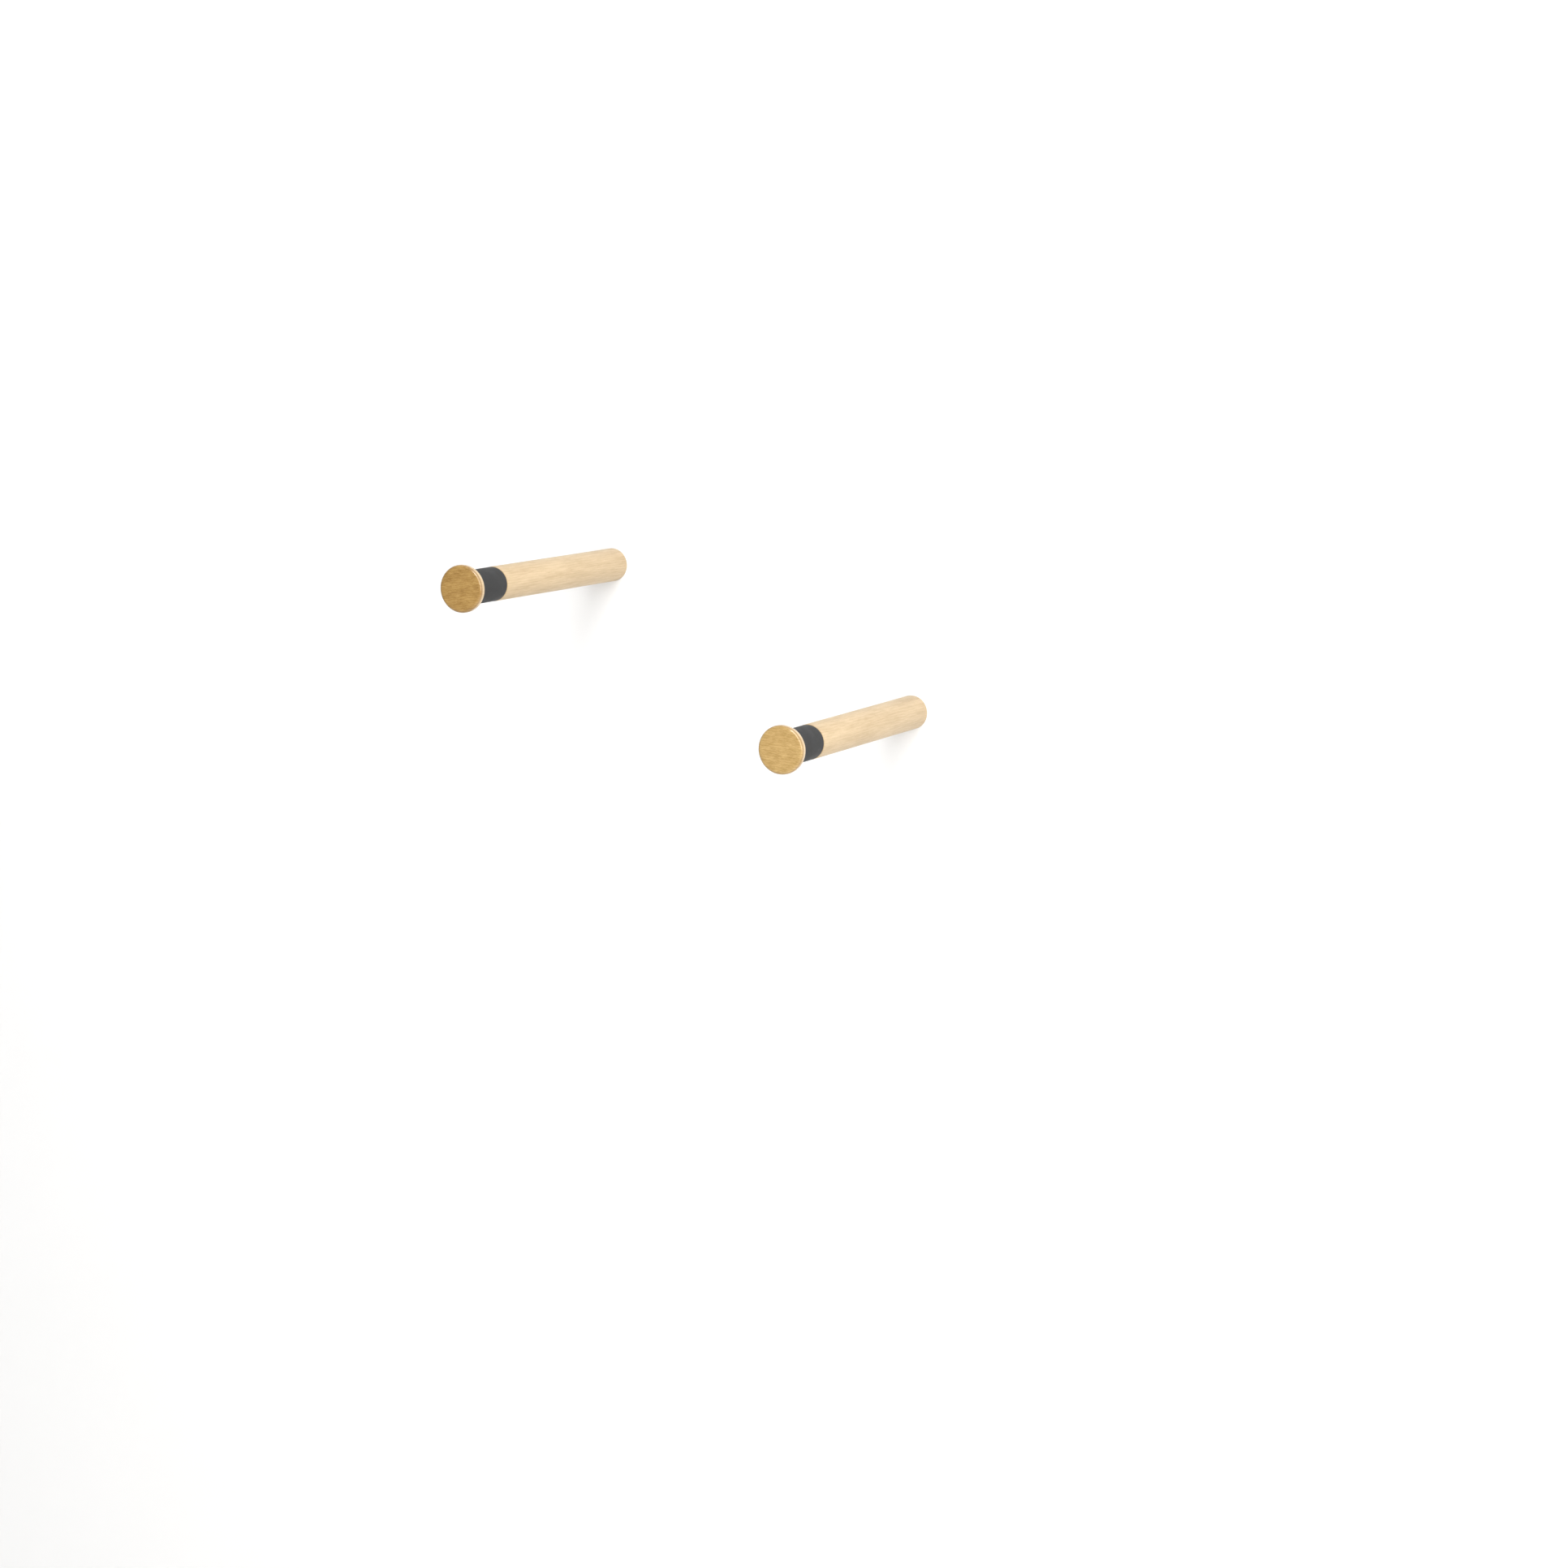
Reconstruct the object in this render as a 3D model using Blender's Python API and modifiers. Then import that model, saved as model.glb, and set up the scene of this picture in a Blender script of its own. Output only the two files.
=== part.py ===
"""Bicycle wall rack: a pair of turned oak pegs that stand square out of a wall.

Each peg is a straight oak shaft with a thinner neck at its front. A black rubber sleeve fills
the neck, flush with the shaft, and a wider oak head is glued into the neck's bore to keep the
sleeve on and the bicycle's top tube behind it. At the wall the shaft holds a threaded steel
insert, which screws onto a hanger bolt set in a nylon wall plug.

Frame: metres, +Z up, +X to the right, +Y into the wall. The wall's surface is the plane y = 0
and the origin lies on it, midway between the two pegs' axes.
Inside a peg, "z" runs along its own axis, out of the wall, so the wall's surface is z = 0.
"""

from math import cos, pi, radians, sin, sqrt, tau

import bmesh
import bpy

MM = 0.001
CLEAR = 0.3 * MM  # gap between two pieces that touch on the real rack

# The pair on the wall
PEG_SPACING = 376 * MM  # between the two axes, level
PEG_DROP = 154 * MM  # from the upper axis down to the lower one
PEG_LENGTH = 360 * MM  # from the wall to the front of the head

# Oak and rubber
SHAFT_R = 19 * MM
NECK_R = 16 * MM
HEAD_R = 26 * MM
HEAD_THICKNESS = 7 * MM
HEAD_ROUND = 3.8 * MM
HEAD_BACK_ROUND = 0.8 * MM
SLEEVE_LENGTH = 64 * MM
SLEEVE_R = 18.8 * MM
SLEEVE_ROUND = 0.7 * MM
SHOULDER_BEVEL = 1.2 * MM
WALL_END_BEVEL = 0.6 * MM
SPIGOT_R = 10 * MM
SPIGOT_LENGTH = 34 * MM
SPIGOT_BEVEL = 1.5 * MM
GLUE_RING_PITCH = 8 * MM
GLUE_RING_DEPTH = 0.6 * MM

# Fixings
BOLT_R = 5 * MM  # M10
BOLT_ROOT_R = 4.15 * MM
BOLT_PITCH = 1.5 * MM
BOLT_STOP = 44 * MM
BOLT_BEVEL = 1.0 * MM
BOLT_END_R = 3.8 * MM
BOLT_END_ROOM = 4 * MM  # free bore past the bolt's end
SHANK_R = 4.5 * MM
SHANK_START = -8 * MM
SHANK_BEVEL = 1.0 * MM
WOOD_THREAD_R = 5 * MM
WOOD_ROOT_R = 3.5 * MM
WOOD_PITCH = 4.5 * MM
WOOD_THREAD_START = -70 * MM
WOOD_POINT = 11 * MM
POINT_SHARE = 0.12  # radius left at the point's end
KEY_SOCKET_FLATS = 5 * MM
KEY_SOCKET_DEPTH = 5 * MM
INSERT_R = 9 * MM
INSERT_ROOT_R = 7.7 * MM
INSERT_PITCH = 3.5 * MM
INSERT_LEAD = 1.0 * MM
INSERT_LENGTH = 25 * MM
INSERT_RECESS = 0.5 * MM
INSERT_SOCKET_FLATS = 12 * MM
INSERT_SOCKET_DEPTH = 5 * MM
PLUG_R = 7 * MM
PLUG_GROOVE_R = 6.3 * MM
PLUG_BORE_R = BOLT_R + CLEAR
PLUG_LENGTH = 76 * MM
PLUG_COLLAR = 12 * MM
PLUG_BARB = 5 * MM
PLUG_BARB_STEP = 0.75 * MM
PLUG_NOSE = 6 * MM
PLUG_NOSE_R = 5.9 * MM
PLUG_SLOT = 1.6 * MM
PLUG_SLOT_START = 20 * MM
FIN_ROOT = 5.9 * MM
FIN_REACH = 8.8 * MM
FIN_THICKNESS = 1.2 * MM
FIN_START = 3 * MM
FIN_STOP = 17 * MM

OAK_SEGMENTS = 36
THREAD_SEGMENTS = 12
INSERT_SEGMENTS = 16
PLUG_SEGMENTS = 24
ROUND_STEPS = 5
CUTTER_OVERRUN = 1.0 * MM
WELD = 1e-6
THREAD_WELD = 1e-5
SHARP_ANGLE = radians(32)

HEAD_BACK = PEG_LENGTH - HEAD_THICKNESS
SHOULDER = HEAD_BACK - SLEEVE_LENGTH
SPIGOT_END = HEAD_BACK - SPIGOT_LENGTH
INSERT_STOP = INSERT_RECESS + INSERT_LENGTH

PEGS = {
    "upper": (-PEG_SPACING / 2, PEG_DROP / 2),
    "lower": (PEG_SPACING / 2, -PEG_DROP / 2),
}


def clear_scene():
    """Remove every object that the file starts with."""
    for obj in list(bpy.data.objects):
        bpy.data.objects.remove(obj, do_unlink=True)


def make_material(name, colour, roughness, metallic=0.0):
    """Plain Principled material."""
    material = bpy.data.materials.new(name)
    material.use_nodes = True
    shader = material.node_tree.nodes["Principled BSDF"]
    shader.inputs["Base Color"].default_value = (*colour, 1.0)
    shader.inputs["Roughness"].default_value = roughness
    shader.inputs["Metallic"].default_value = metallic
    material.diffuse_color = (*colour, 1.0)
    return material


def make_collection(name):
    """New collection under the scene."""
    collection = bpy.data.collections.new(name)
    bpy.context.scene.collection.children.link(collection)
    return collection


def add_object(name, mesh, collection):
    """New mesh object in a collection."""
    obj = bpy.data.objects.new(name, mesh)
    collection.objects.link(obj)
    return obj


def mesh_from(bm, name):
    """Write a bmesh into a new mesh with its faces pointing out, and free it."""
    bmesh.ops.recalc_face_normals(bm, faces=bm.faces)
    mesh = bpy.data.meshes.new(name)
    bm.to_mesh(mesh)
    bm.free()
    return mesh


def bake(obj):
    """Turn an object's modifiers into a plain, smooth-shaded mesh, and remove the object."""
    bpy.context.view_layer.update()
    evaluated = obj.evaluated_get(bpy.context.evaluated_depsgraph_get())
    mesh = bpy.data.meshes.new_from_object(evaluated)
    mesh.name = obj.name
    bpy.data.objects.remove(obj, do_unlink=True)
    mesh.shade_smooth()
    mesh.set_sharp_from_angle(angle=SHARP_ANGLE)
    return mesh


def arc(centre_r, centre_z, radius, start, stop, steps=ROUND_STEPS):
    """Profile points (r, z) on an arc. Angles are in degrees from straight outwards, towards +z."""
    points = []
    for i in range(steps + 1):
        angle = radians(start + (stop - start) * i / steps)
        points.append((centre_r + radius * cos(angle), centre_z + radius * sin(angle)))
    return points


def turned(name, profile, segments, collection, closed=False):
    """Mesh turned about the peg's axis from a profile that runs down its outer side."""
    mesh = bpy.data.meshes.new(name)
    count = len(profile)
    edges = [(i, i + 1) for i in range(count - 1)]
    if closed:
        edges.append((count - 1, 0))
    mesh.from_pydata([(r, 0.0, z) for r, z in profile], edges, [])
    obj = add_object(name, mesh, collection)
    screw = obj.modifiers.new("turn", "SCREW")
    screw.axis = "Z"
    screw.steps = segments
    screw.render_steps = segments
    screw.use_merge_vertices = True
    screw.merge_threshold = WELD
    return obj


def cut(obj, cutter):
    """Boolean difference with a cutter object."""
    modifier = obj.modifiers.new("cut " + cutter.name, "BOOLEAN")
    modifier.operation = "DIFFERENCE"
    modifier.solver = "EXACT"
    modifier.object = cutter


def join(obj, other):
    """Boolean union with another object."""
    modifier = obj.modifiers.new("join " + other.name, "BOOLEAN")
    modifier.operation = "UNION"
    modifier.solver = "EXACT"
    modifier.object = other


def add_guide(name, bm, collection):
    """Cutter or joined block: shown as a wire and never rendered."""
    obj = add_object(name, mesh_from(bm, name), collection)
    obj.display_type = "WIRE"
    obj.hide_render = True
    return obj


def hexagon_guide(name, flats, z_low, z_high, collection):
    """Hexagonal prism along the peg's axis."""
    bm = bmesh.new()
    corner_r = flats / sqrt(3)
    bmesh.ops.create_cone(bm, cap_ends=True, segments=6, radius1=corner_r, radius2=corner_r,
                          depth=z_high - z_low)
    bmesh.ops.translate(bm, verts=bm.verts, vec=(0, 0, (z_low + z_high) / 2))
    return add_guide(name, bm, collection)


def block_guide(name, low, high, collection):
    """Box between two corners."""
    bm = bmesh.new()
    bmesh.ops.create_cube(bm, size=1.0)
    bmesh.ops.scale(bm, verts=bm.verts, vec=[b - a for a, b in zip(low, high)])
    bmesh.ops.translate(bm, verts=bm.verts, vec=[(a + b) / 2 for a, b in zip(low, high)])
    return add_guide(name, bm, collection)


def add_ring(bm, radius, z, segments):
    """Level ring of vertices."""
    return [bm.verts.new((radius * cos(tau * i / segments), radius * sin(tau * i / segments), z))
            for i in range(segments)]


def bridge(bm, below, above):
    """Band of faces between two rings."""
    count = len(below)
    for i in range(count):
        j = (i + 1) % count
        bm.faces.new((below[i], below[j], above[j], above[i]))


def add_thread(bm, z_low, z_high, root_r, crest_r, pitch, segments, slimness=lambda z: 1.0):
    """Skin of a screw thread, two rows of vertices a turn, which ends in a level root ring both ways.

    Every row climbs one pitch in a turn, so row j meets row j + 2 where the turn closes. Rows that
    pass an end are held at it, on the root radius, and weld into that level ring.
    """
    turns = int((z_high - z_low) / pitch) + 2
    rows = []
    for j in range(-2, 2 * turns + 3):
        row = []
        for i in range(segments):
            z = z_low + pitch * (j / 2 + i / segments)
            inside = z_low < z < z_high
            radius = crest_r if inside and j % 2 else root_r
            z = min(max(z, z_low), z_high)
            angle = tau * i / segments
            radius *= slimness(z)
            row.append(bm.verts.new((radius * cos(angle), radius * sin(angle), z)))
        rows.append(row)
    last = len(rows) - 1
    for j in range(last):
        for i in range(segments):
            if i + 1 < segments:
                corners = (rows[j][i], rows[j][i + 1], rows[j + 1][i + 1], rows[j + 1][i])
            else:
                corners = (rows[j][i], rows[min(j + 2, last)][0], rows[min(j + 3, last)][0], rows[j + 1][i])
            if len(set(corners)) == 4:
                bm.faces.new(corners)


def weld_and_cap(bm):
    """Merge the vertices that lie together and close the open ends."""
    bmesh.ops.remove_doubles(bm, verts=bm.verts, dist=THREAD_WELD)
    bmesh.ops.dissolve_degenerate(bm, edges=bm.edges, dist=THREAD_WELD)
    loose = [v for v in bm.verts if not v.link_faces]
    bmesh.ops.delete(bm, geom=loose, context="VERTS")
    rims = [e for e in bm.edges if e.is_boundary]
    bmesh.ops.holes_fill(bm, edges=rims, sides=0)


def shaft_mesh(guides):
    """Oak shaft: bored at the front for the head's spigot and at the wall for insert and bolt."""
    spigot_bore_r = SPIGOT_R + CLEAR
    insert_bore_r = INSERT_R + CLEAR
    bolt_bore_r = BOLT_R + CLEAR
    spigot_bore_end = SPIGOT_END - CLEAR
    insert_bore_end = INSERT_STOP + CLEAR
    bolt_bore_end = BOLT_STOP + BOLT_END_ROOM
    neck_end = HEAD_BACK - CLEAR
    profile = [
        (0, spigot_bore_end),
        (spigot_bore_r, spigot_bore_end),
        (spigot_bore_r, neck_end),
        (NECK_R, neck_end),
        (NECK_R, SHOULDER),
        (SHAFT_R - SHOULDER_BEVEL, SHOULDER),
        (SHAFT_R, SHOULDER - SHOULDER_BEVEL),
        (SHAFT_R, WALL_END_BEVEL),
        (SHAFT_R - WALL_END_BEVEL, 0),
        (insert_bore_r, 0),
        (insert_bore_r, insert_bore_end),
        (bolt_bore_r, insert_bore_end),
        (bolt_bore_r, bolt_bore_end),
        (0, bolt_bore_end),
    ]
    return bake(turned("shaft", profile, OAK_SEGMENTS, guides))


def sleeve_mesh(guides):
    """Rubber tube on the neck, its outer edges rounded."""
    bore_r = NECK_R + CLEAR
    top = HEAD_BACK - CLEAR
    bottom = SHOULDER + CLEAR
    outer = SLEEVE_R - SLEEVE_ROUND
    profile = [(bore_r, top)]
    profile += arc(outer, top - SLEEVE_ROUND, SLEEVE_ROUND, 90, 0, 2)
    profile += arc(outer, bottom + SLEEVE_ROUND, SLEEVE_ROUND, 0, -90, 2)
    profile += [(bore_r, bottom)]
    return bake(turned("sleeve", profile, OAK_SEGMENTS, guides, closed=True))


def head_mesh(guides):
    """Oak head: a disc with a rounded front edge and a spigot with glue rings behind it."""
    profile = [(0, PEG_LENGTH)]
    profile += arc(HEAD_R - HEAD_ROUND, PEG_LENGTH - HEAD_ROUND, HEAD_ROUND, 90, 0)
    profile += arc(HEAD_R - HEAD_BACK_ROUND, HEAD_BACK + HEAD_BACK_ROUND, HEAD_BACK_ROUND, 0, -90, 2)
    profile += [(SPIGOT_R, HEAD_BACK)]
    groove = HEAD_BACK - GLUE_RING_PITCH
    while groove > SPIGOT_END + GLUE_RING_PITCH / 2:
        profile += [
            (SPIGOT_R, groove + GLUE_RING_DEPTH),
            (SPIGOT_R - GLUE_RING_DEPTH, groove),
            (SPIGOT_R, groove - GLUE_RING_DEPTH),
        ]
        groove -= GLUE_RING_PITCH
    profile += [
        (SPIGOT_R, SPIGOT_END + SPIGOT_BEVEL),
        (SPIGOT_R - SPIGOT_BEVEL, SPIGOT_END),
        (0, SPIGOT_END),
    ]
    return bake(turned("head", profile, OAK_SEGMENTS, guides))


def insert_mesh(guides):
    """Steel insert: coarse outer thread, a hexagon socket at the wall end, a bore for the bolt."""
    bore_r = BOLT_R + CLEAR
    bm = bmesh.new()
    low, high = INSERT_RECESS, INSERT_STOP
    bore_low = add_ring(bm, bore_r, low, INSERT_SEGMENTS)
    bore_high = add_ring(bm, bore_r, high, INSERT_SEGMENTS)
    rim_low = add_ring(bm, INSERT_ROOT_R, low, INSERT_SEGMENTS)
    rim_high = add_ring(bm, INSERT_ROOT_R, high, INSERT_SEGMENTS)
    thread_low = add_ring(bm, INSERT_ROOT_R, low + INSERT_LEAD, INSERT_SEGMENTS)
    thread_high = add_ring(bm, INSERT_ROOT_R, high - INSERT_LEAD, INSERT_SEGMENTS)
    bridge(bm, bore_low, bore_high)
    bridge(bm, bore_low, rim_low)
    bridge(bm, bore_high, rim_high)
    bridge(bm, rim_low, thread_low)
    bridge(bm, thread_high, rim_high)
    add_thread(bm, low + INSERT_LEAD, high - INSERT_LEAD, INSERT_ROOT_R, INSERT_R, INSERT_PITCH,
               INSERT_SEGMENTS)
    weld_and_cap(bm)
    obj = add_object("insert", mesh_from(bm, "insert"), guides)
    socket = hexagon_guide("insert_socket", INSERT_SOCKET_FLATS,
                           low - CUTTER_OVERRUN, low + INSERT_SOCKET_DEPTH, guides)
    cut(obj, socket)
    return bake(obj)


def point_slimness(z):
    """Share of its full radius that the wood thread has at z: it narrows to the point."""
    along = (z - WOOD_THREAD_START) / WOOD_POINT
    return min(1.0, POINT_SHARE + (1.0 - POINT_SHARE) * along)


def hanger_bolt_mesh(guides):
    """Hanger bolt: wood thread and point in the plug, a plain shank, M10 thread in the insert."""
    bm = bmesh.new()
    add_thread(bm, WOOD_THREAD_START, SHANK_START, WOOD_ROOT_R, WOOD_THREAD_R, WOOD_PITCH,
               THREAD_SEGMENTS, point_slimness)
    rings = [
        add_ring(bm, WOOD_ROOT_R, SHANK_START, THREAD_SEGMENTS),
        add_ring(bm, SHANK_R, SHANK_START + SHANK_BEVEL, THREAD_SEGMENTS),
        add_ring(bm, SHANK_R, -SHANK_BEVEL, THREAD_SEGMENTS),
        add_ring(bm, BOLT_ROOT_R, 0, THREAD_SEGMENTS),
    ]
    for below, above in zip(rings, rings[1:]):
        bridge(bm, below, above)
    add_thread(bm, 0, BOLT_STOP - BOLT_BEVEL, BOLT_ROOT_R, BOLT_R, BOLT_PITCH, THREAD_SEGMENTS)
    neck = add_ring(bm, BOLT_ROOT_R, BOLT_STOP - BOLT_BEVEL, THREAD_SEGMENTS)
    end = add_ring(bm, BOLT_END_R, BOLT_STOP, THREAD_SEGMENTS)
    bridge(bm, neck, end)
    weld_and_cap(bm)
    obj = add_object("hanger_bolt", mesh_from(bm, "hanger_bolt"), guides)
    socket = hexagon_guide("key_socket", KEY_SOCKET_FLATS,
                           BOLT_STOP - KEY_SOCKET_DEPTH, BOLT_STOP + CUTTER_OVERRUN, guides)
    cut(obj, socket)
    return bake(obj)


def wall_plug_mesh(guides):
    """Nylon plug: barbed tube with an open mouth, four legs and two fins that stop it turning."""
    mouth = -CLEAR
    nose = mouth - PLUG_LENGTH
    profile = [(PLUG_BORE_R, mouth), (PLUG_R, mouth)]
    barb = mouth - PLUG_COLLAR
    while barb > nose + PLUG_NOSE + PLUG_BARB:
        profile += [(PLUG_R, barb), (PLUG_GROOVE_R, barb - PLUG_BARB_STEP)]
        barb -= PLUG_BARB
    profile += [
        (PLUG_R, nose + PLUG_NOSE),
        (PLUG_NOSE_R, nose),
        (PLUG_BORE_R, nose),
    ]
    obj = turned("wall_plug", profile, PLUG_SEGMENTS, guides, closed=True)
    for side in (-1, 1):
        near, far = sorted((side * FIN_ROOT, side * FIN_REACH))
        fin = block_guide(
            "plug_fin",
            (near, -FIN_THICKNESS / 2, -FIN_STOP),
            (far, FIN_THICKNESS / 2, -FIN_START),
            guides,
        )
        join(obj, fin)
    reach = PLUG_R + CUTTER_OVERRUN
    half = PLUG_SLOT / 2
    for name, size_x, size_y in (("slot_across", reach, half), ("slot_upright", half, reach)):
        slot = block_guide(
            name,
            (-size_x, -size_y, nose - CUTTER_OVERRUN),
            (size_x, size_y, -PLUG_SLOT_START),
            guides,
        )
        cut(obj, slot)
    return bake(obj)


def main():
    """Make the six pieces of a peg once, and place them for the upper and the lower peg."""
    clear_scene()
    rack = make_collection("bicycle_wall_rack")
    guides = make_collection("guides")
    oak = make_material("oak", (0.80, 0.62, 0.40), 0.55)
    end_oak = make_material("end_grain_oak", (0.60, 0.38, 0.15), 0.5)
    rubber = make_material("black_rubber", (0.03, 0.03, 0.03), 0.75)
    steel = make_material("zinc_plated_steel", (0.62, 0.63, 0.64), 0.35, 1.0)
    nylon = make_material("grey_nylon", (0.35, 0.36, 0.38), 0.5)
    pieces = {
        "shaft": (shaft_mesh(guides), oak),
        "sleeve": (sleeve_mesh(guides), rubber),
        "head": (head_mesh(guides), end_oak),
        "threaded_insert": (insert_mesh(guides), steel),
        "hanger_bolt": (hanger_bolt_mesh(guides), steel),
        "wall_plug": (wall_plug_mesh(guides), nylon),
    }
    for piece, (mesh, material) in pieces.items():
        mesh.materials.clear()
        mesh.materials.append(material)
    for peg, (x, z) in PEGS.items():
        axis = bpy.data.objects.new(peg + "_peg_axis", None)
        rack.objects.link(axis)
        axis.location = (x, 0, z)
        axis.rotation_euler = (pi / 2, 0, 0)
        for piece, (mesh, material) in pieces.items():
            obj = add_object(f"{peg}_{piece}", mesh, rack)
            obj.parent = axis


if __name__ == "__main__":
    main()
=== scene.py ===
"""Looks of a bicycle wall rack: two turned oak pegs, their rubber sleeves and their hidden fixings.

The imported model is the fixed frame. Every piece is built about its own peg's axis, with "along"
measured out of the wall in metres, and then set in the place where the frame has that piece.
"""

import logging
import math
from collections.abc import Mapping, Sequence
from dataclasses import dataclass, field
from enum import Enum

import bmesh
import bpy
from mathutils import Matrix, Quaternion, Vector


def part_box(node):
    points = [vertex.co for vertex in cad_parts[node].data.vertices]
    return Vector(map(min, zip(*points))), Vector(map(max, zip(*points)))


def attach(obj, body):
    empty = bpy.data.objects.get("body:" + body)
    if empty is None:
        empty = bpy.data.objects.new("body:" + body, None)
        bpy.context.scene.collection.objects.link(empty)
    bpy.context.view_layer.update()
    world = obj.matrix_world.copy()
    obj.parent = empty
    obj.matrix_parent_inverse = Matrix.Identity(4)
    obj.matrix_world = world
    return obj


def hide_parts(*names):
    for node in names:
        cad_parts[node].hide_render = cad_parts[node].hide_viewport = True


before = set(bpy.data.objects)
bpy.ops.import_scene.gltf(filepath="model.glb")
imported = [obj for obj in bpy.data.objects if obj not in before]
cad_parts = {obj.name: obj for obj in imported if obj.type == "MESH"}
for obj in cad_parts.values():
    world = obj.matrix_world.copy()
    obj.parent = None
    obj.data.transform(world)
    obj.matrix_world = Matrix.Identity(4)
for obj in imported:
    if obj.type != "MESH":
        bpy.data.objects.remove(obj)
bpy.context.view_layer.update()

log = logging.getLogger("bicycle_wall_rack")

MM = 0.001
ROOT_BODY = "root"
WELD = 1e-6
SHARP_ANGLE = math.radians(34)
HOLE_SEGMENTS = 64
NOISE_RANGE = (0.3, 0.7)
# Lacquer of the heads, and the share of painted shade on the steep part of their round front edge.
HEAD_LACQUER_AND_EDGE_SHADE = {"coat": 0.9, "coat_roughness": 0.14, "shine": 0.2, "painted_edge_shade": 0.4}

Colour = tuple[float, float, float]
Socket = bpy.types.NodeSocket


class Side(Enum):
    """The two pegs of the rack."""

    UPPER = "upper"
    LOWER = "lower"


class Slot(Enum):
    """Material slots of the record."""

    OAK = "oak"
    END_GRAIN = "end_grain_oak"
    RUBBER = "black_rubber"
    ZINC = "zinc_plated_steel"
    NYLON = "grey_nylon"


def srgb(red: int, green: int, blue: int) -> Colour:
    """Scene-linear colour of an sRGB one given from 0 to 255."""

    def linear(value: int) -> float:
        """Scene-linear share of one channel."""
        share = value / 255
        return share / 12.92 if share <= 0.04045 else ((share + 0.055) / 1.055) ** 2.4

    return linear(red), linear(green), linear(blue)


# ---------------------------------------------------------------------------------------------
# Node trees
# ---------------------------------------------------------------------------------------------


class NodeGraph:
    """Builder for one node tree, of a material or of Geometry Nodes."""

    def __init__(self, tree: bpy.types.NodeTree) -> None:
        """Keep the tree that the calls add to."""
        self.tree = tree

    def add(
        self, kind: str, inputs: Mapping[str | int, object] | None = None, **settings: object
    ) -> bpy.types.Node:
        """Add a node.

        Args:
            kind: The node's type name.
            inputs: For each input's name or number, a value or a socket to link from.
            settings: The node's own properties.

        Returns:
            The new node.
        """
        node = self.tree.nodes.new(kind)
        for name, value in settings.items():
            setattr(node, name, value)
        for key, value in (inputs or {}).items():
            self.feed(self.socket(node.inputs, key), value)
        return node

    @staticmethod
    def socket(sockets: bpy.types.bpy_prop_collection, key: str | int) -> Socket:
        """Find a socket by its number, or by its name among those in use."""
        if isinstance(key, int):
            return sockets[key]
        return next(s for s in sockets if s.name == key and s.enabled)

    def feed(self, socket: Socket, value: object) -> None:
        """Link a socket into an input, or set the input's own value."""
        if isinstance(value, bpy.types.NodeSocket):
            self.tree.links.new(value, socket)
        elif socket.type == "RGBA":
            socket.default_value = (*value, 1.0)
        else:
            socket.default_value = value

    def math(self, operation: str, *values: object, clamp: bool = False) -> Socket:
        """Add a Math node.

        Args:
            operation: Its operation.
            values: Its inputs, in order.
            clamp: Whether the result stays within 0 and 1.

        Returns:
            Its output.
        """
        inputs = dict(enumerate(values))
        return self.add("ShaderNodeMath", inputs, operation=operation, use_clamp=clamp).outputs[0]

    def combine(self, x: object, y: object, z: object) -> Socket:
        """Make a vector of three numbers."""
        return self.add("ShaderNodeCombineXYZ", {"X": x, "Y": y, "Z": z}).outputs[0]

    def separate(self, vector: Socket) -> tuple[Socket, Socket, Socket]:
        """Split a vector into its three numbers."""
        outputs = self.add("ShaderNodeSeparateXYZ", {0: vector}).outputs
        return outputs[0], outputs[1], outputs[2]

    def spread(self, value: Socket, low: float, high: float, out_low: object, out_high: object) -> Socket:
        """Carry a number smoothly from one range to another.

        Args:
            value: The number.
            low: Where the change starts.
            high: Where the change ends.
            out_low: Result at the start and before it.
            out_high: Result at the end and past it.

        Returns:
            The result.
        """
        inputs = {"Value": value, "From Min": low, "From Max": high, "To Min": out_low, "To Max": out_high}
        return self.add("ShaderNodeMapRange", inputs, interpolation_type="SMOOTHSTEP").outputs[0]


@dataclass(frozen=True)
class Grain:
    """A noise stretched by its own factors.

    Attributes:
        to_metre: Features to a metre along X, Y and Z.
        detail: Number of finer layers.
        roughness: Strength of the finer layers.
    """

    to_metre: tuple[float, float, float]
    detail: float = 2.0
    roughness: float = 0.5


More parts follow.
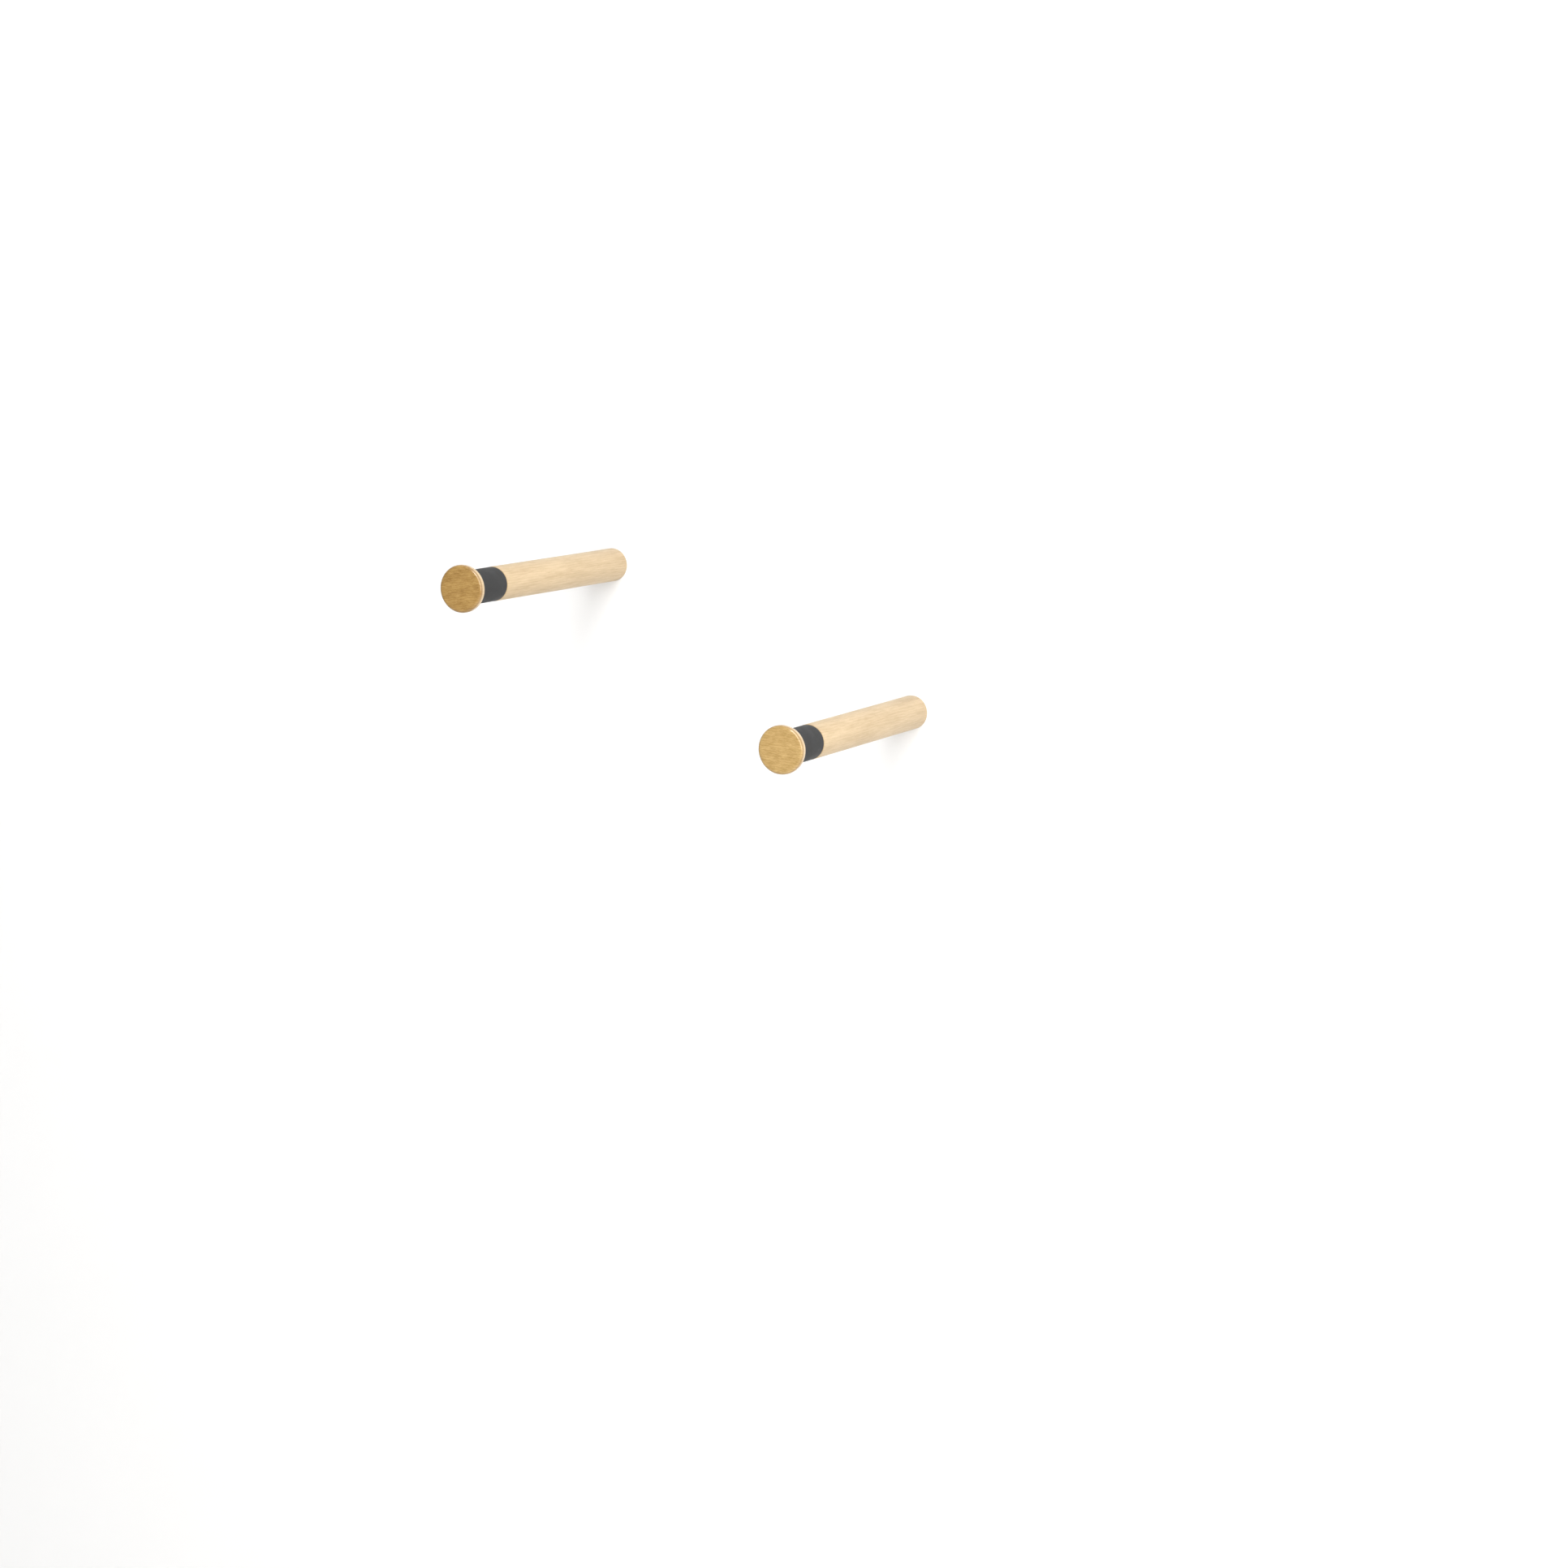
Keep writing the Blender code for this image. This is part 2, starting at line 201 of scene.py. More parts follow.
class ShaderGraph(NodeGraph):
    """Node tree of a material that ends in one Principled shader."""

    def __init__(self, name: str) -> None:
        """Make the material, and find its shader and output."""
        self.material = bpy.data.materials.new(name)
        self.material.use_nodes = True
        super().__init__(self.material.node_tree)
        self.shader = self.tree.nodes["Principled BSDF"]
        self.output = self.tree.nodes["Material Output"]
        self.coordinates = self.add("ShaderNodeTexCoord")

    def place(self, offset: Sequence[float] = (0, 0, 0), turn: Sequence[float] = (0, 0, 0)) -> Socket:
        """Object coordinates, moved in metres and turned in radians."""
        inputs = {
            "Vector": self.coordinates.outputs["Object"],
            "Location": tuple(offset),
            "Rotation": tuple(turn),
        }
        return self.add("ShaderNodeMapping", inputs).outputs[0]

    def steepness(self) -> Socket:
        """How squarely the surface faces along the peg, from 0 on its side to 1 on its ends."""
        return self.math("ABSOLUTE", self.separate(self.coordinates.outputs["Normal"])[1])

    def from_axis(self, spot: Socket) -> Socket:
        """Distance of a spot from the Y axis."""
        x, _, z = self.separate(spot)
        squares = self.math("ADD", self.math("MULTIPLY", x, x), self.math("MULTIPLY", z, z))
        return self.math("SQRT", squares)

    def noise(self, grain: Grain, spot: Socket) -> Socket:
        """Read a grain's value, about one half, at a spot."""
        inputs = {0: spot, 1: grain.to_metre}
        vector = self.add("ShaderNodeVectorMath", inputs, operation="MULTIPLY").outputs[0]
        inputs = {"Vector": vector, "Scale": 1.0, "Detail": grain.detail, "Roughness": grain.roughness}
        return self.add("ShaderNodeTexNoise", inputs).outputs[0]

    def even(self, noise: Socket, low: object = 0.0, high: object = 1.0) -> Socket:
        """Carry the usual values of a noise to a range."""
        return self.spread(noise, *NOISE_RANGE, low, high)

    def mix(self, factor: object, first: object, second: object) -> Socket:
        """Mix two colours, by the share of the second."""
        node = self.add("ShaderNodeMix", data_type="RGBA", blend_type="MIX")
        for key, value in (("A", first), ("B", second), ("Factor", factor)):
            self.feed(self.socket(node.inputs, key), value)
        return self.socket(node.outputs, "Result")

    def bump(self, height: Socket, distance: float) -> Socket:
        """Bump from a height of 0 to 1, with the real height of 1 in metres."""
        return self.add("ShaderNodeBump", {"Height": height, "Distance": distance}).outputs["Normal"]

    def dress(self, **inputs: object) -> bpy.types.Material:
        """Feed the shader's inputs, named in lower case with underscores, and return the material."""
        for name, value in inputs.items():
            key = name.replace("_", " ").title().replace("Ior", "IOR")
            self.feed(self.shader.inputs[key], value)
        return self.material


class GeometryGraph(NodeGraph):
    """Geometry Nodes tree with named sizes, which works on an outline and ends in a dressed mesh."""

    def __init__(self, name: str, whole: Sequence[str], sizes: Sequence[str]) -> None:
        """Make the tree.

        Args:
            name: The tree's name.
            whole: Names of its inputs that are whole numbers.
            sizes: Names of its other numbers.
        """
        tree = bpy.data.node_groups.new(name, "GeometryNodeTree")
        super().__init__(tree)
        kinds = {"Geometry": "NodeSocketGeometry"}
        kinds |= dict.fromkeys(whole, "NodeSocketInt")
        kinds |= dict.fromkeys(sizes, "NodeSocketFloat")
        kinds |= {"Material": "NodeSocketMaterial"}
        self.identifiers: dict[str, str] = {}
        for label, kind in kinds.items():
            item = tree.interface.new_socket(label, in_out="INPUT", socket_type=kind)
            self.identifiers[label] = item.identifier
        tree.interface.new_socket("Geometry", in_out="OUTPUT", socket_type="NodeSocketGeometry")
        self.given = self.add("NodeGroupInput").outputs

    def whole(self, operation: str, first: object, second: object) -> Socket:
        """Whole-number arithmetic on two values."""
        return self.add("FunctionNodeIntegerMath", {0: first, 1: second}, operation=operation).outputs[0]

    def grid(self, columns: Socket, rows: Socket) -> tuple[Socket, Socket, Socket]:
        """Add a flat grid.

        Args:
            columns: Number of columns.
            rows: Number of points in a column.

        Returns:
            The grid, and each point's column and row.
        """
        mesh = self.add("GeometryNodeMeshGrid", {"Vertices X": columns, "Vertices Y": rows}).outputs[0]
        index = self.add("GeometryNodeInputIndex").outputs[0]
        return mesh, self.whole("DIVIDE_FLOOR", index, rows), self.whole("FLOORED_MODULO", index, rows)

    def sample(self, geometry: Socket, index: Socket, attribute: str | None = None) -> Socket:
        """Read a point's position, or one of its attributes.

        Args:
            geometry: Where it is read.
            index: The point's number.
            attribute: Name of a number stored on the points, or None for the position.

        Returns:
            The value.
        """
        if attribute is None:
            kind, value = "FLOAT_VECTOR", self.add("GeometryNodeInputPosition").outputs[0]
        else:
            kind = "FLOAT"
            node = self.add("GeometryNodeInputNamedAttribute", {"Name": attribute}, data_type=kind)
            value = node.outputs[0]
        node = self.add("GeometryNodeSampleIndex", data_type=kind, domain="POINT")
        for key, fed in (("Geometry", geometry), ("Value", value), ("Index", index)):
            self.feed(self.socket(node.inputs, key), fed)
        return self.socket(node.outputs, "Value")

    def bend_round(self, mesh: Socket, angle: Socket, radius: Socket, along: Socket) -> Socket:
        """Set each point at an angle and radius about the axis, and weld the seam.

        Args:
            mesh: The points' mesh.
            angle: Angle about the axis.
            radius: Distance from the axis.
            along: Place on the axis.

        Returns:
            The welded mesh.
        """
        x = self.math("MULTIPLY", radius, self.math("COSINE", angle))
        y = self.math("MULTIPLY", radius, self.math("SINE", angle))
        inputs = {"Geometry": mesh, "Position": self.combine(x, y, along)}
        moved = self.add("GeometryNodeSetPosition", inputs).outputs[0]
        inputs = {"Geometry": moved, "Distance": WELD}
        return self.add("GeometryNodeMergeByDistance", inputs).outputs[0]

    def close(self, geometry: Socket) -> None:
        """End the tree: real meshes, dressed in the material."""
        realized = self.add("GeometryNodeRealizeInstances", {"Geometry": geometry}).outputs[0]
        inputs = {"Geometry": realized, "Material": self.given["Material"]}
        dressed = self.add("GeometryNodeSetMaterial", inputs).outputs[0]
        self.add("NodeGroupOutput", {0: dressed})

    def run(self, mesh: bpy.types.Mesh, material: bpy.types.Material, **sizes: float) -> bpy.types.Mesh:
        """Run the tree on a mesh.

        Args:
            mesh: The outline or body it works on.
            material: The material it sets.
            sizes: Its inputs, named in lower case with underscores.

        Returns:
            The plain mesh that it makes.
        """
        obj = bpy.data.objects.new(self.tree.name, mesh)
        bpy.context.scene.collection.objects.link(obj)
        modifier = obj.modifiers.new(self.tree.name, "NODES")
        modifier.node_group = self.tree
        modifier[self.identifiers["Material"]] = material
        for name, value in sizes.items():
            modifier[self.identifiers[name.replace("_", " ").capitalize()]] = value
        bpy.context.view_layer.update()
        result = bpy.data.meshes.new_from_object(obj.evaluated_get(bpy.context.evaluated_depsgraph_get()))
        bpy.data.objects.remove(obj)
        return result


def turning_tree() -> GeometryGraph:
    """Tree that turns an outline of radius X and place Z about the axis.

    A point whose attribute "hexagonal" is 1 gives a hexagon, with that radius as half its width
    across flats.
    """
    graph = GeometryGraph("turned piece", ["Segments"], [])
    outline, segments = graph.given["Geometry"], graph.given["Segments"]
    rows = graph.add("GeometryNodeAttributeDomainSize", {"Geometry": outline}).outputs["Point Count"]
    mesh, column, row = graph.grid(graph.whole("ADD", segments, 1), rows)
    radius, _, along = graph.separate(graph.sample(outline, row))
    hexagonal = graph.sample(outline, row, "hexagonal")
    angle = graph.math("MULTIPLY", graph.math("DIVIDE", column, segments), math.tau)
    from_flat = graph.math("WRAP", angle, math.pi / 6, -math.pi / 6)
    reach = graph.math("DIVIDE", 1.0, graph.math("COSINE", from_flat))
    stretch = graph.math("MULTIPLY_ADD", graph.math("SUBTRACT", reach, 1.0), hexagonal, 1.0)
    graph.close(graph.bend_round(mesh, angle, graph.math("MULTIPLY", radius, stretch), along))
    return graph


def thread_tree() -> GeometryGraph:
    """Tree that winds a screw thread about the axis, from one turn's outline.

    The outline gives the height of the thread's side as X, from 0 at the root to 1 at the crest, and
    the place in the turn as Z, from 0 to 1. The thread fades to its root at both ends, where it
    closes to level rings, and narrows to its low end over the point's length.
    """
    graph = GeometryGraph(
        "screw thread",
        ["Segments"],
        ["Low", "High", "Root", "Crest", "Pitch", "Fade", "Point length", "Point share"],
    )
    given = graph.given
    counted = graph.add("GeometryNodeAttributeDomainSize", {"Geometry": given["Geometry"]})
    stations = counted.outputs["Point Count"]
    span = graph.math("DIVIDE", graph.math("SUBTRACT", given["High"], given["Low"]), given["Pitch"])
    turns = graph.math("ADD", graph.math("CEIL", span), 2.0)
    rows = graph.math("MULTIPLY", turns, stations)
    mesh, column, row = graph.grid(graph.whole("ADD", given["Segments"], 1), rows)
    height, _, share = graph.separate(
        graph.sample(given["Geometry"], graph.whole("FLOORED_MODULO", row, stations))
    )
    turn = graph.whole("DIVIDE_FLOOR", row, stations)
    round_share = graph.math("DIVIDE", column, given["Segments"])
    climbed = graph.math("ADD", graph.math("ADD", turn, round_share), graph.math("SUBTRACT", share, 1.0))
    unclamped = graph.math("MULTIPLY_ADD", climbed, given["Pitch"], given["Low"])
    along = graph.math("MAXIMUM", graph.math("MINIMUM", unclamped, given["High"]), given["Low"])
    to_end = graph.math(
        "MINIMUM",
        graph.math("SUBTRACT", along, given["Low"]),
        graph.math("SUBTRACT", given["High"], along),
    )
    grown = graph.spread(graph.math("DIVIDE", to_end, given["Fade"]), 0.0, 1.0, 0.0, 1.0)
    depth = graph.math("SUBTRACT", given["Crest"], given["Root"])
    radius = graph.math("MULTIPLY_ADD", graph.math("MULTIPLY", height, grown), depth, given["Root"])
    pointed = graph.math("DIVIDE", graph.math("SUBTRACT", along, given["Low"]), given["Point length"])
    missing = graph.math("SUBTRACT", 1.0, given["Point share"])
    slim = graph.math("MULTIPLY_ADD", graph.math("MINIMUM", pointed, 1.0), missing, given["Point share"])
    angle = graph.math("MULTIPLY", round_share, math.tau)
    graph.close(graph.bend_round(mesh, angle, graph.math("MULTIPLY", radius, slim), along))
    return graph


def splitting_tree() -> GeometryGraph:
    """Tree that adds fins to a plug's two sides and saws its crossed slots from the nose."""
    graph = GeometryGraph(
        "split plug",
        ["Blades"],
        [
            "Slot width", "Slot start", "Nose", "Reach",
            "Fin thickness", "Fin start", "Fin stop", "Fin root", "Fin tip",
        ],
    )
    given = graph.given

    def bar(size: tuple[object, object], low: object, high: object, aside: object) -> Socket:
        """Bar along the axis, between two places, moved aside."""
        length = graph.math("SUBTRACT", high, low)
        cube = graph.add("GeometryNodeMeshCube", {"Size": graph.combine(*size, length)}).outputs[0]
        middle = graph.math("MULTIPLY", graph.math("ADD", low, high), 0.5)
        inputs = {"Geometry": cube, "Translation": graph.combine(aside, 0.0, middle)}
        return graph.add("GeometryNodeTransform", inputs).outputs[0]

    def spun(shape: Socket, count: object, step: Socket | float) -> Socket:
        """Copies of a shape, each turned by one more step about the axis."""
        points = graph.add("GeometryNodeMeshLine", {"Count": count, "Offset": (0, 0, 0)}).outputs[0]
        turn = graph.math("MULTIPLY", graph.add("GeometryNodeInputIndex").outputs[0], step)
        inputs = {"Points": points, "Instance": shape, "Rotation": graph.combine(0.0, 0.0, turn)}
        placed = graph.add("GeometryNodeInstanceOnPoints", inputs).outputs[0]
        return graph.add("GeometryNodeRealizeInstances", {"Geometry": placed}).outputs[0]

    fin_size = graph.math("SUBTRACT", given["Fin tip"], given["Fin root"])
    fin_middle = graph.math("MULTIPLY", graph.math("ADD", given["Fin tip"], given["Fin root"]), 0.5)
    fin = bar((fin_size, given["Fin thickness"]), given["Fin stop"], given["Fin start"], fin_middle)
    union = graph.add("GeometryNodeMeshBoolean", operation="UNION", solver="EXACT")
    for shape in (given["Geometry"], spun(fin, 2, math.pi)):
        graph.tree.links.new(shape, union.inputs[1])
    blade = bar(
        (graph.math("MULTIPLY", given["Reach"], 2.0), given["Slot width"]),
        graph.math("SUBTRACT", given["Nose"], given["Slot width"]),
        given["Slot start"],
        0.0,
    )
    blades = spun(blade, given["Blades"], graph.math("DIVIDE", math.pi, given["Blades"]))
    sawn = graph.add("GeometryNodeMeshBoolean", operation="DIFFERENCE", solver="EXACT")
    graph.tree.links.new(union.outputs[0], sawn.inputs[0])
    graph.tree.links.new(blades, sawn.inputs[1])
    graph.close(sawn.outputs[0])
    return graph


# ---------------------------------------------------------------------------------------------
# Outlines and meshes
# ---------------------------------------------------------------------------------------------


@dataclass
class Outline:
    """Outline of a turned piece or of a thread's side, point by point.

    Attributes:
        points: Radius and place along the axis of each point.
        hexagonal: 1 for each point that gives a hexagon, and 0 for each that gives a circle.
    """

    points: list[tuple[float, float]] = field(default_factory=list)
    hexagonal: list[float] = field(default_factory=list)

    def to(self, radius: float, along: float, hexagonal: bool = False) -> "Outline":
        """Add a point, and return the outline."""
        self.points.append((radius, along))
        self.hexagonal.append(float(hexagonal))
        return self

    def arc(
        self, radius: float, along: float, bend: float, start: float, stop: float, steps: int = 8
    ) -> "Outline":
        """Add an arc.

        Args:
            radius: Its centre's distance from the axis.
            along: Its centre's place on the axis.
            bend: Its own radius.
            start: Angle of its first point, in degrees from straight outwards towards the front.
            stop: Angle of its last point.
            steps: Number of its straight runs.

        Returns:
            The outline.
        """
        for i in range(steps + 1):
            angle = math.radians(start + (stop - start) * i / steps)
            self.to(radius + bend * math.cos(angle), along + bend * math.sin(angle))
        return self

    def closed(self) -> "Outline":
        """End the outline at its first point, and return it."""
        return self.to(*self.points[0])

    def mesh(self) -> bpy.types.Mesh:
        """Give the outline as a mesh of points and edges."""
        mesh = bpy.data.meshes.new("outline")
        edges = [(i, i + 1) for i in range(len(self.points) - 1)]
        mesh.from_pydata([(radius, 0.0, along) for radius, along in self.points], edges, [])
        flags = mesh.attributes.new("hexagonal", "FLOAT", "POINT")
        flags.data.foreach_set("value", self.hexagonal)
        return mesh


def welded(meshes: Sequence[bpy.types.Mesh], matrix: Matrix) -> bpy.types.Mesh:
    """Join parts of one skin into a closed, smooth mesh.

    Args:
        meshes: The parts, which share the points where they meet.
        matrix: Where the result is set.

    Returns:
        The mesh, its faces pointing out and its edges sharp past the sharp angle.
    """
    bm = bmesh.new()
    for mesh in meshes:
        bm.from_mesh(mesh)
    bmesh.ops.remove_doubles(bm, verts=bm.verts, dist=WELD)
    bmesh.ops.recalc_face_normals(bm, faces=bm.faces)
    result = bpy.data.meshes.new("piece")
    bm.to_mesh(result)
    bm.free()
    result.transform(matrix)
    result.shade_smooth()
    result.set_sharp_from_angle(angle=SHARP_ANGLE)
    return result


class Workshop:
    """The tools that every sub-assembly shares: the lathe, the thread cutter and the saw."""

    def __init__(self) -> None:
        """Build the three trees."""
        self.turning = turning_tree()
        self.threading = thread_tree()
        self.splitting = splitting_tree()

    def turn(self, outline: Outline, segments: int, material: bpy.types.Material) -> bpy.types.Mesh:
        """Turn an outline about the axis."""
        return self.turning.run(outline.mesh(), material, segments=segments)

    def thread(
        self, form: Outline, segments: int, material: bpy.types.Material, **sizes: float
    ) -> bpy.types.Mesh:
        """Wind a thread of one turn's form about the axis."""
        return self.threading.run(form.mesh(), material, segments=segments, **sizes)


def show(name: str, mesh: bpy.types.Mesh, material: bpy.types.Material, node: str, slot: Slot) -> None:
    """Show a finished piece in place of its CAD node.

    Args:
        name: The piece's name.
        mesh: Its mesh, in place.
        material: Its only material.
        node: The CAD node that it stands for.
        slot: The record's slot of its finish; not used.
    """
    mesh.name = name
    mesh.materials.clear()
    mesh.materials.append(material)
    piece = bpy.data.objects.new(name, mesh)
    bpy.context.scene.collection.objects.link(piece)
    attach(piece, ROOT_BODY)
    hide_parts(node)
    log.info("%s: %d faces", name, len(mesh.polygons))


# ---------------------------------------------------------------------------------------------
# Finishes
# ---------------------------------------------------------------------------------------------


@dataclass(frozen=True)
class OakFinish:
    """Solid oak under a satin lacquer, its grain along Y.

    Long grain is pale. End grain, where the surface faces along Y, is darker and warmer. A pair of
    numbers for a tone's share is for long grain and for end grain.

    Attributes:
        name: The material's name.
        heart: Where the tree's centre lies, as X and Z in metres.
        pale: Colour of the long grain's dense wood.
        tan: Colour of the long grain's open wood.
        end_pale: Colour of the end grain's dense wood.
        end_tan: Colour of the end grain's open wood.
        pore: Colour inside a pore, also used as the colour of the painted shade on the steep part of a
            round edge.
        lean: Turn of the tree against the peg about X and Z, in radians.
        ring: Width of a year's ring.
        waver: Slow bends of the rings.
        waver_reach: Their reach, in rings.
        crinkle: Fine bends of the rings.
        crinkle_reach: Their reach, in rings.
        patch: Slow clouds of tone.
        ray: Short dashes across the rings.
        fibre: Fine fibres.
        vessel: The pores' places.
        end_facing: Steepness from which end grain shows, and at which it is full.
        ring_share: Share of the darker tone in open wood.
        patch_share: Share of it in the clouds.
        ray_share: Share of it in the dashes.
        fibre_share: Share of it in the fibres.
        pore_share: Share of the pore's colour in a pore.
        relief: Height of the fibres over the pores.
        coat: Share of lacquer.
        coat_roughness: Roughness of the lacquer.
        coat_ior: Refraction of the lacquer.
        shine: Strength of the wood's own gloss.
        painted_edge_shade: Share of darker tone painted as shade on the steep part of a round edge.
    """

    name: str
    heart: tuple[float, float]
    pale: Colour = srgb(202, 180, 147)
    tan: Colour = srgb(171, 148, 114)
    end_pale: Colour = srgb(192, 167, 129)
    end_tan: Colour = srgb(164, 136, 98)
    pore: Colour = srgb(116, 84, 50)
    lean: tuple[float, float] = (0.004, 0.006)
    ring: float = 2.6 * MM
    waver: Grain = Grain((75, 4, 75), 3.0)
    waver_reach: float = 2.4
    crinkle: Grain = Grain((420, 14, 420))
    crinkle_reach: float = 1.3
    patch: Grain = Grain((75, 14, 130))
    ray: Grain = Grain((190, 46, 720), 3.0, 0.6)
    fibre: Grain = Grain((1500, 75, 1500), 3.0, 0.6)
    vessel: Grain = Grain((3000, 190, 3000), 1.0)
    end_facing: tuple[float, float] = (0.25, 0.8)
    ring_share: tuple[float, float] = (0.14, 0.22)
    patch_share: tuple[float, float] = (0.32, 0.36)
    ray_share: tuple[float, float] = (0.28, 0.4)
    fibre_share: tuple[float, float] = (0.2, 0.2)
    pore_share: float = 0.2
    relief: float = 0.02 * MM
    coat: float = 0.06
    coat_roughness: float = 0.3
    coat_ior: float = 1.6
    shine: float = 0.15
    painted_edge_shade: float = 0.0

    def years(self, graph: ShaderGraph, wood: Socket) -> Socket:
        """Share of open, early wood, from the wavy rings about the heart.

        Args:
            graph: The material's tree.
            wood: Place in the tree.

        Returns:
            1 in open wood and 0 in dense wood.
        """
        rings = graph.math("DIVIDE", graph.from_axis(wood), self.ring)
        for grain, reach in ((self.waver, self.waver_reach), (self.crinkle, self.crinkle_reach)):
            bend = graph.math("SUBTRACT", graph.noise(grain, wood), 0.5)
            rings = graph.math("MULTIPLY_ADD", bend, reach, rings)
        year = graph.math("FRACT", rings)
        early = graph.spread(year, 0.05, 0.45, 1.0, 0.0)
        late = graph.spread(year, 0.85, 1.0, 0.0, 1.0)
        return graph.math("ADD", early, late, clamp=True)

    def painted_shade_on_edge(self, graph: ShaderGraph, steepness: Socket) -> Socket:
        """Share of darker tone painted as shade on the steep part of a round edge."""
        rising = graph.spread(steepness, 0.15, 0.4, 0.0, self.painted_edge_shade)
        return graph.math("MULTIPLY", rising, graph.spread(steepness, 0.55, 0.8, 1.0, 0.0))

    def material(self) -> bpy.types.Material:
        """Build the material."""
        graph = ShaderGraph(self.name)
        wood = graph.place((-self.heart[0], 0.0, -self.heart[1]), (self.lean[0], 0.0, self.lean[1]))
        open_wood = self.years(graph, wood)
        fibre = graph.noise(self.fibre, wood)
        pores = graph.spread(graph.noise(self.vessel, wood), 0.6, 0.72, 0.0, 1.0)
        pore = graph.math("MULTIPLY", pores, open_wood)
        steepness = graph.steepness()
        end = graph.spread(steepness, *self.end_facing, 0.0, 1.0)

        tones = (
            (open_wood, self.ring_share),
            (graph.even(graph.noise(self.patch, wood)), self.patch_share),
            (graph.even(graph.noise(self.ray, wood)), self.ray_share),
            (graph.even(fibre), self.fibre_share),
        )
        shade: Socket | float = 0.0
        for tone, share in tones:
            weight = graph.spread(end, 0.0, 1.0, *share)
            shade = graph.math("MULTIPLY_ADD", tone, weight, shade, clamp=True)
        long_colour = graph.mix(shade, self.pale, self.tan)
        end_colour = graph.mix(shade, self.end_pale, self.end_tan)
        colour = graph.mix(end, long_colour, end_colour)
        colour = graph.mix(graph.math("MULTIPLY", pore, self.pore_share), colour, self.pore)
        # Painted shade: the steep part of a round edge is darkened towards the pore's colour.
        colour = graph.mix(self.painted_shade_on_edge(graph, steepness), colour, self.pore)

        height = graph.math("SUBTRACT", graph.math("MULTIPLY", fibre, 0.5), pore)
        return graph.dress(
            base_color=colour,
            roughness=graph.spread(fibre, 0.2, 0.8, 0.4, 0.56),
            normal=graph.bump(height, self.relief),
            coat_weight=self.coat,
            coat_roughness=self.coat_roughness,
            coat_ior=self.coat_ior,
            specular_ior_level=self.shine,
        )


@dataclass(frozen=True)
class RubberFinish:
    """Matte black rubber, faintly chalky, with the fine tooth of a moulded skin and rubbed edges.

    Attributes:
        name: The material's name.
        edges: Places of the sleeve's two edges, as Y in metres.
        black: Colour of the clean rubber.
        chalk: Colour of the dusty rubber.
        rubbed: Colour of the rubbed edges.
        rub_width: How far from an edge the rubbing reaches.
        rub_share: Share of the rubbed colour at an edge.
        cloud: Clouds of dust.
        tooth: The moulded skin.
        tooth_height: Height of the skin's tooth.
        scuff: Breaks in the rubbing.
    """

    name: str
    edges: tuple[float, float]
    black: Colour = srgb(41, 41, 42)
    chalk: Colour = srgb(48, 48, 48)
    rubbed: Colour = srgb(86, 85, 84)
    rub_width: float = 1.6 * MM
    rub_share: float = 0.6
    cloud: Grain = Grain((70, 70, 70), 3.0)
    tooth: Grain = Grain((2600, 2600, 2600))
    tooth_height: float = 0.03 * MM
    scuff: Grain = Grain((330, 900, 330), 3.0)

    def worn(self, graph: ShaderGraph, spot: Socket) -> Socket:
        """Share of rubbed skin, along both edges."""
        middle, half = sum(self.edges) / 2, abs(self.edges[0] - self.edges[1]) / 2
        from_middle = graph.math("ABSOLUTE", graph.math("SUBTRACT", graph.separate(spot)[1], middle))
        edge = graph.spread(from_middle, half - self.rub_width, half, 0.0, self.rub_share)
        broken = graph.spread(graph.noise(self.scuff, spot), 0.35, 0.65, 0.15, 1.0)
        return graph.math("MULTIPLY", edge, broken)

    def material(self) -> bpy.types.Material:
        """Build the material."""
        graph = ShaderGraph(self.name)
        spot = graph.place()
        cloud = graph.noise(self.cloud, spot)
        colour = graph.mix(graph.spread(cloud, 0.35, 0.7, 0.0, 0.8), self.black, self.chalk)
        return graph.dress(
            base_color=graph.mix(self.worn(graph, spot), colour, self.rubbed),
            roughness=graph.even(cloud, 0.62, 0.74),
            normal=graph.bump(graph.noise(self.tooth, spot), self.tooth_height),
            specular_ior_level=0.3,
        )


@dataclass(frozen=True)
class ZincFinish:
    """Bright zinc plating, faintly blue and straw, darker and rougher in the thread's roots than on its
    crests.

    Attributes:
        name: The material's name.
        axis: The screw's axis, as X and Z in metres.
        root: Radius at the bottom of its thread.
        crest: Radius at the top of its thread.
        bright: Colour of the plating.
        straw: Colour where it has a straw tint.
        blue: Colour where it has a blue tint.
        root_tone: Darker colour given in the thread's root.
        tint: Clouds of tint.
        brush: Fine marks round the screw.
        brush_height: Height of those marks.
        root_roughness: How much rougher the thread's root is.
    """

    name: str
    axis: tuple[float, float]
    root: float
    crest: float
    bright: Colour = srgb(208, 210, 212)
    straw: Colour = srgb(206, 198, 176)
    blue: Colour = srgb(176, 188, 206)
    root_tone: Colour = srgb(122, 122, 120)
    tint: Grain = Grain((260, 260, 260))
    brush: Grain = Grain((900, 9000, 900))
    brush_height: float = 0.01 * MM
    root_roughness: float = 0.16

    def material(self) -> bpy.types.Material:
        """Build the material."""
        graph = ShaderGraph(self.name)
        spot = graph.place((-self.axis[0], 0.0, -self.axis[1]))
        deep = graph.spread(graph.from_axis(spot), self.root, self.crest, 1.0, 0.0)
        tint = graph.noise(self.tint, spot)
        brush = graph.noise(self.brush, spot)
        colour = graph.mix(graph.spread(tint, 0.52, 0.72, 0.0, 0.8), self.bright, self.straw)
        colour = graph.mix(graph.spread(tint, 0.3, 0.46, 0.7, 0.0), colour, self.blue)
        # Darker towards the thread's root.
        colour = graph.mix(graph.math("MULTIPLY", deep, graph.even(tint, 0.8, 0.3)), colour, self.root_tone)
        return graph.dress(
            base_color=colour,
            metallic=1.0,
            roughness=graph.math("MULTIPLY_ADD", deep, self.root_roughness, graph.even(brush, 0.24, 0.38)),
            normal=graph.bump(brush, self.brush_height),
        )


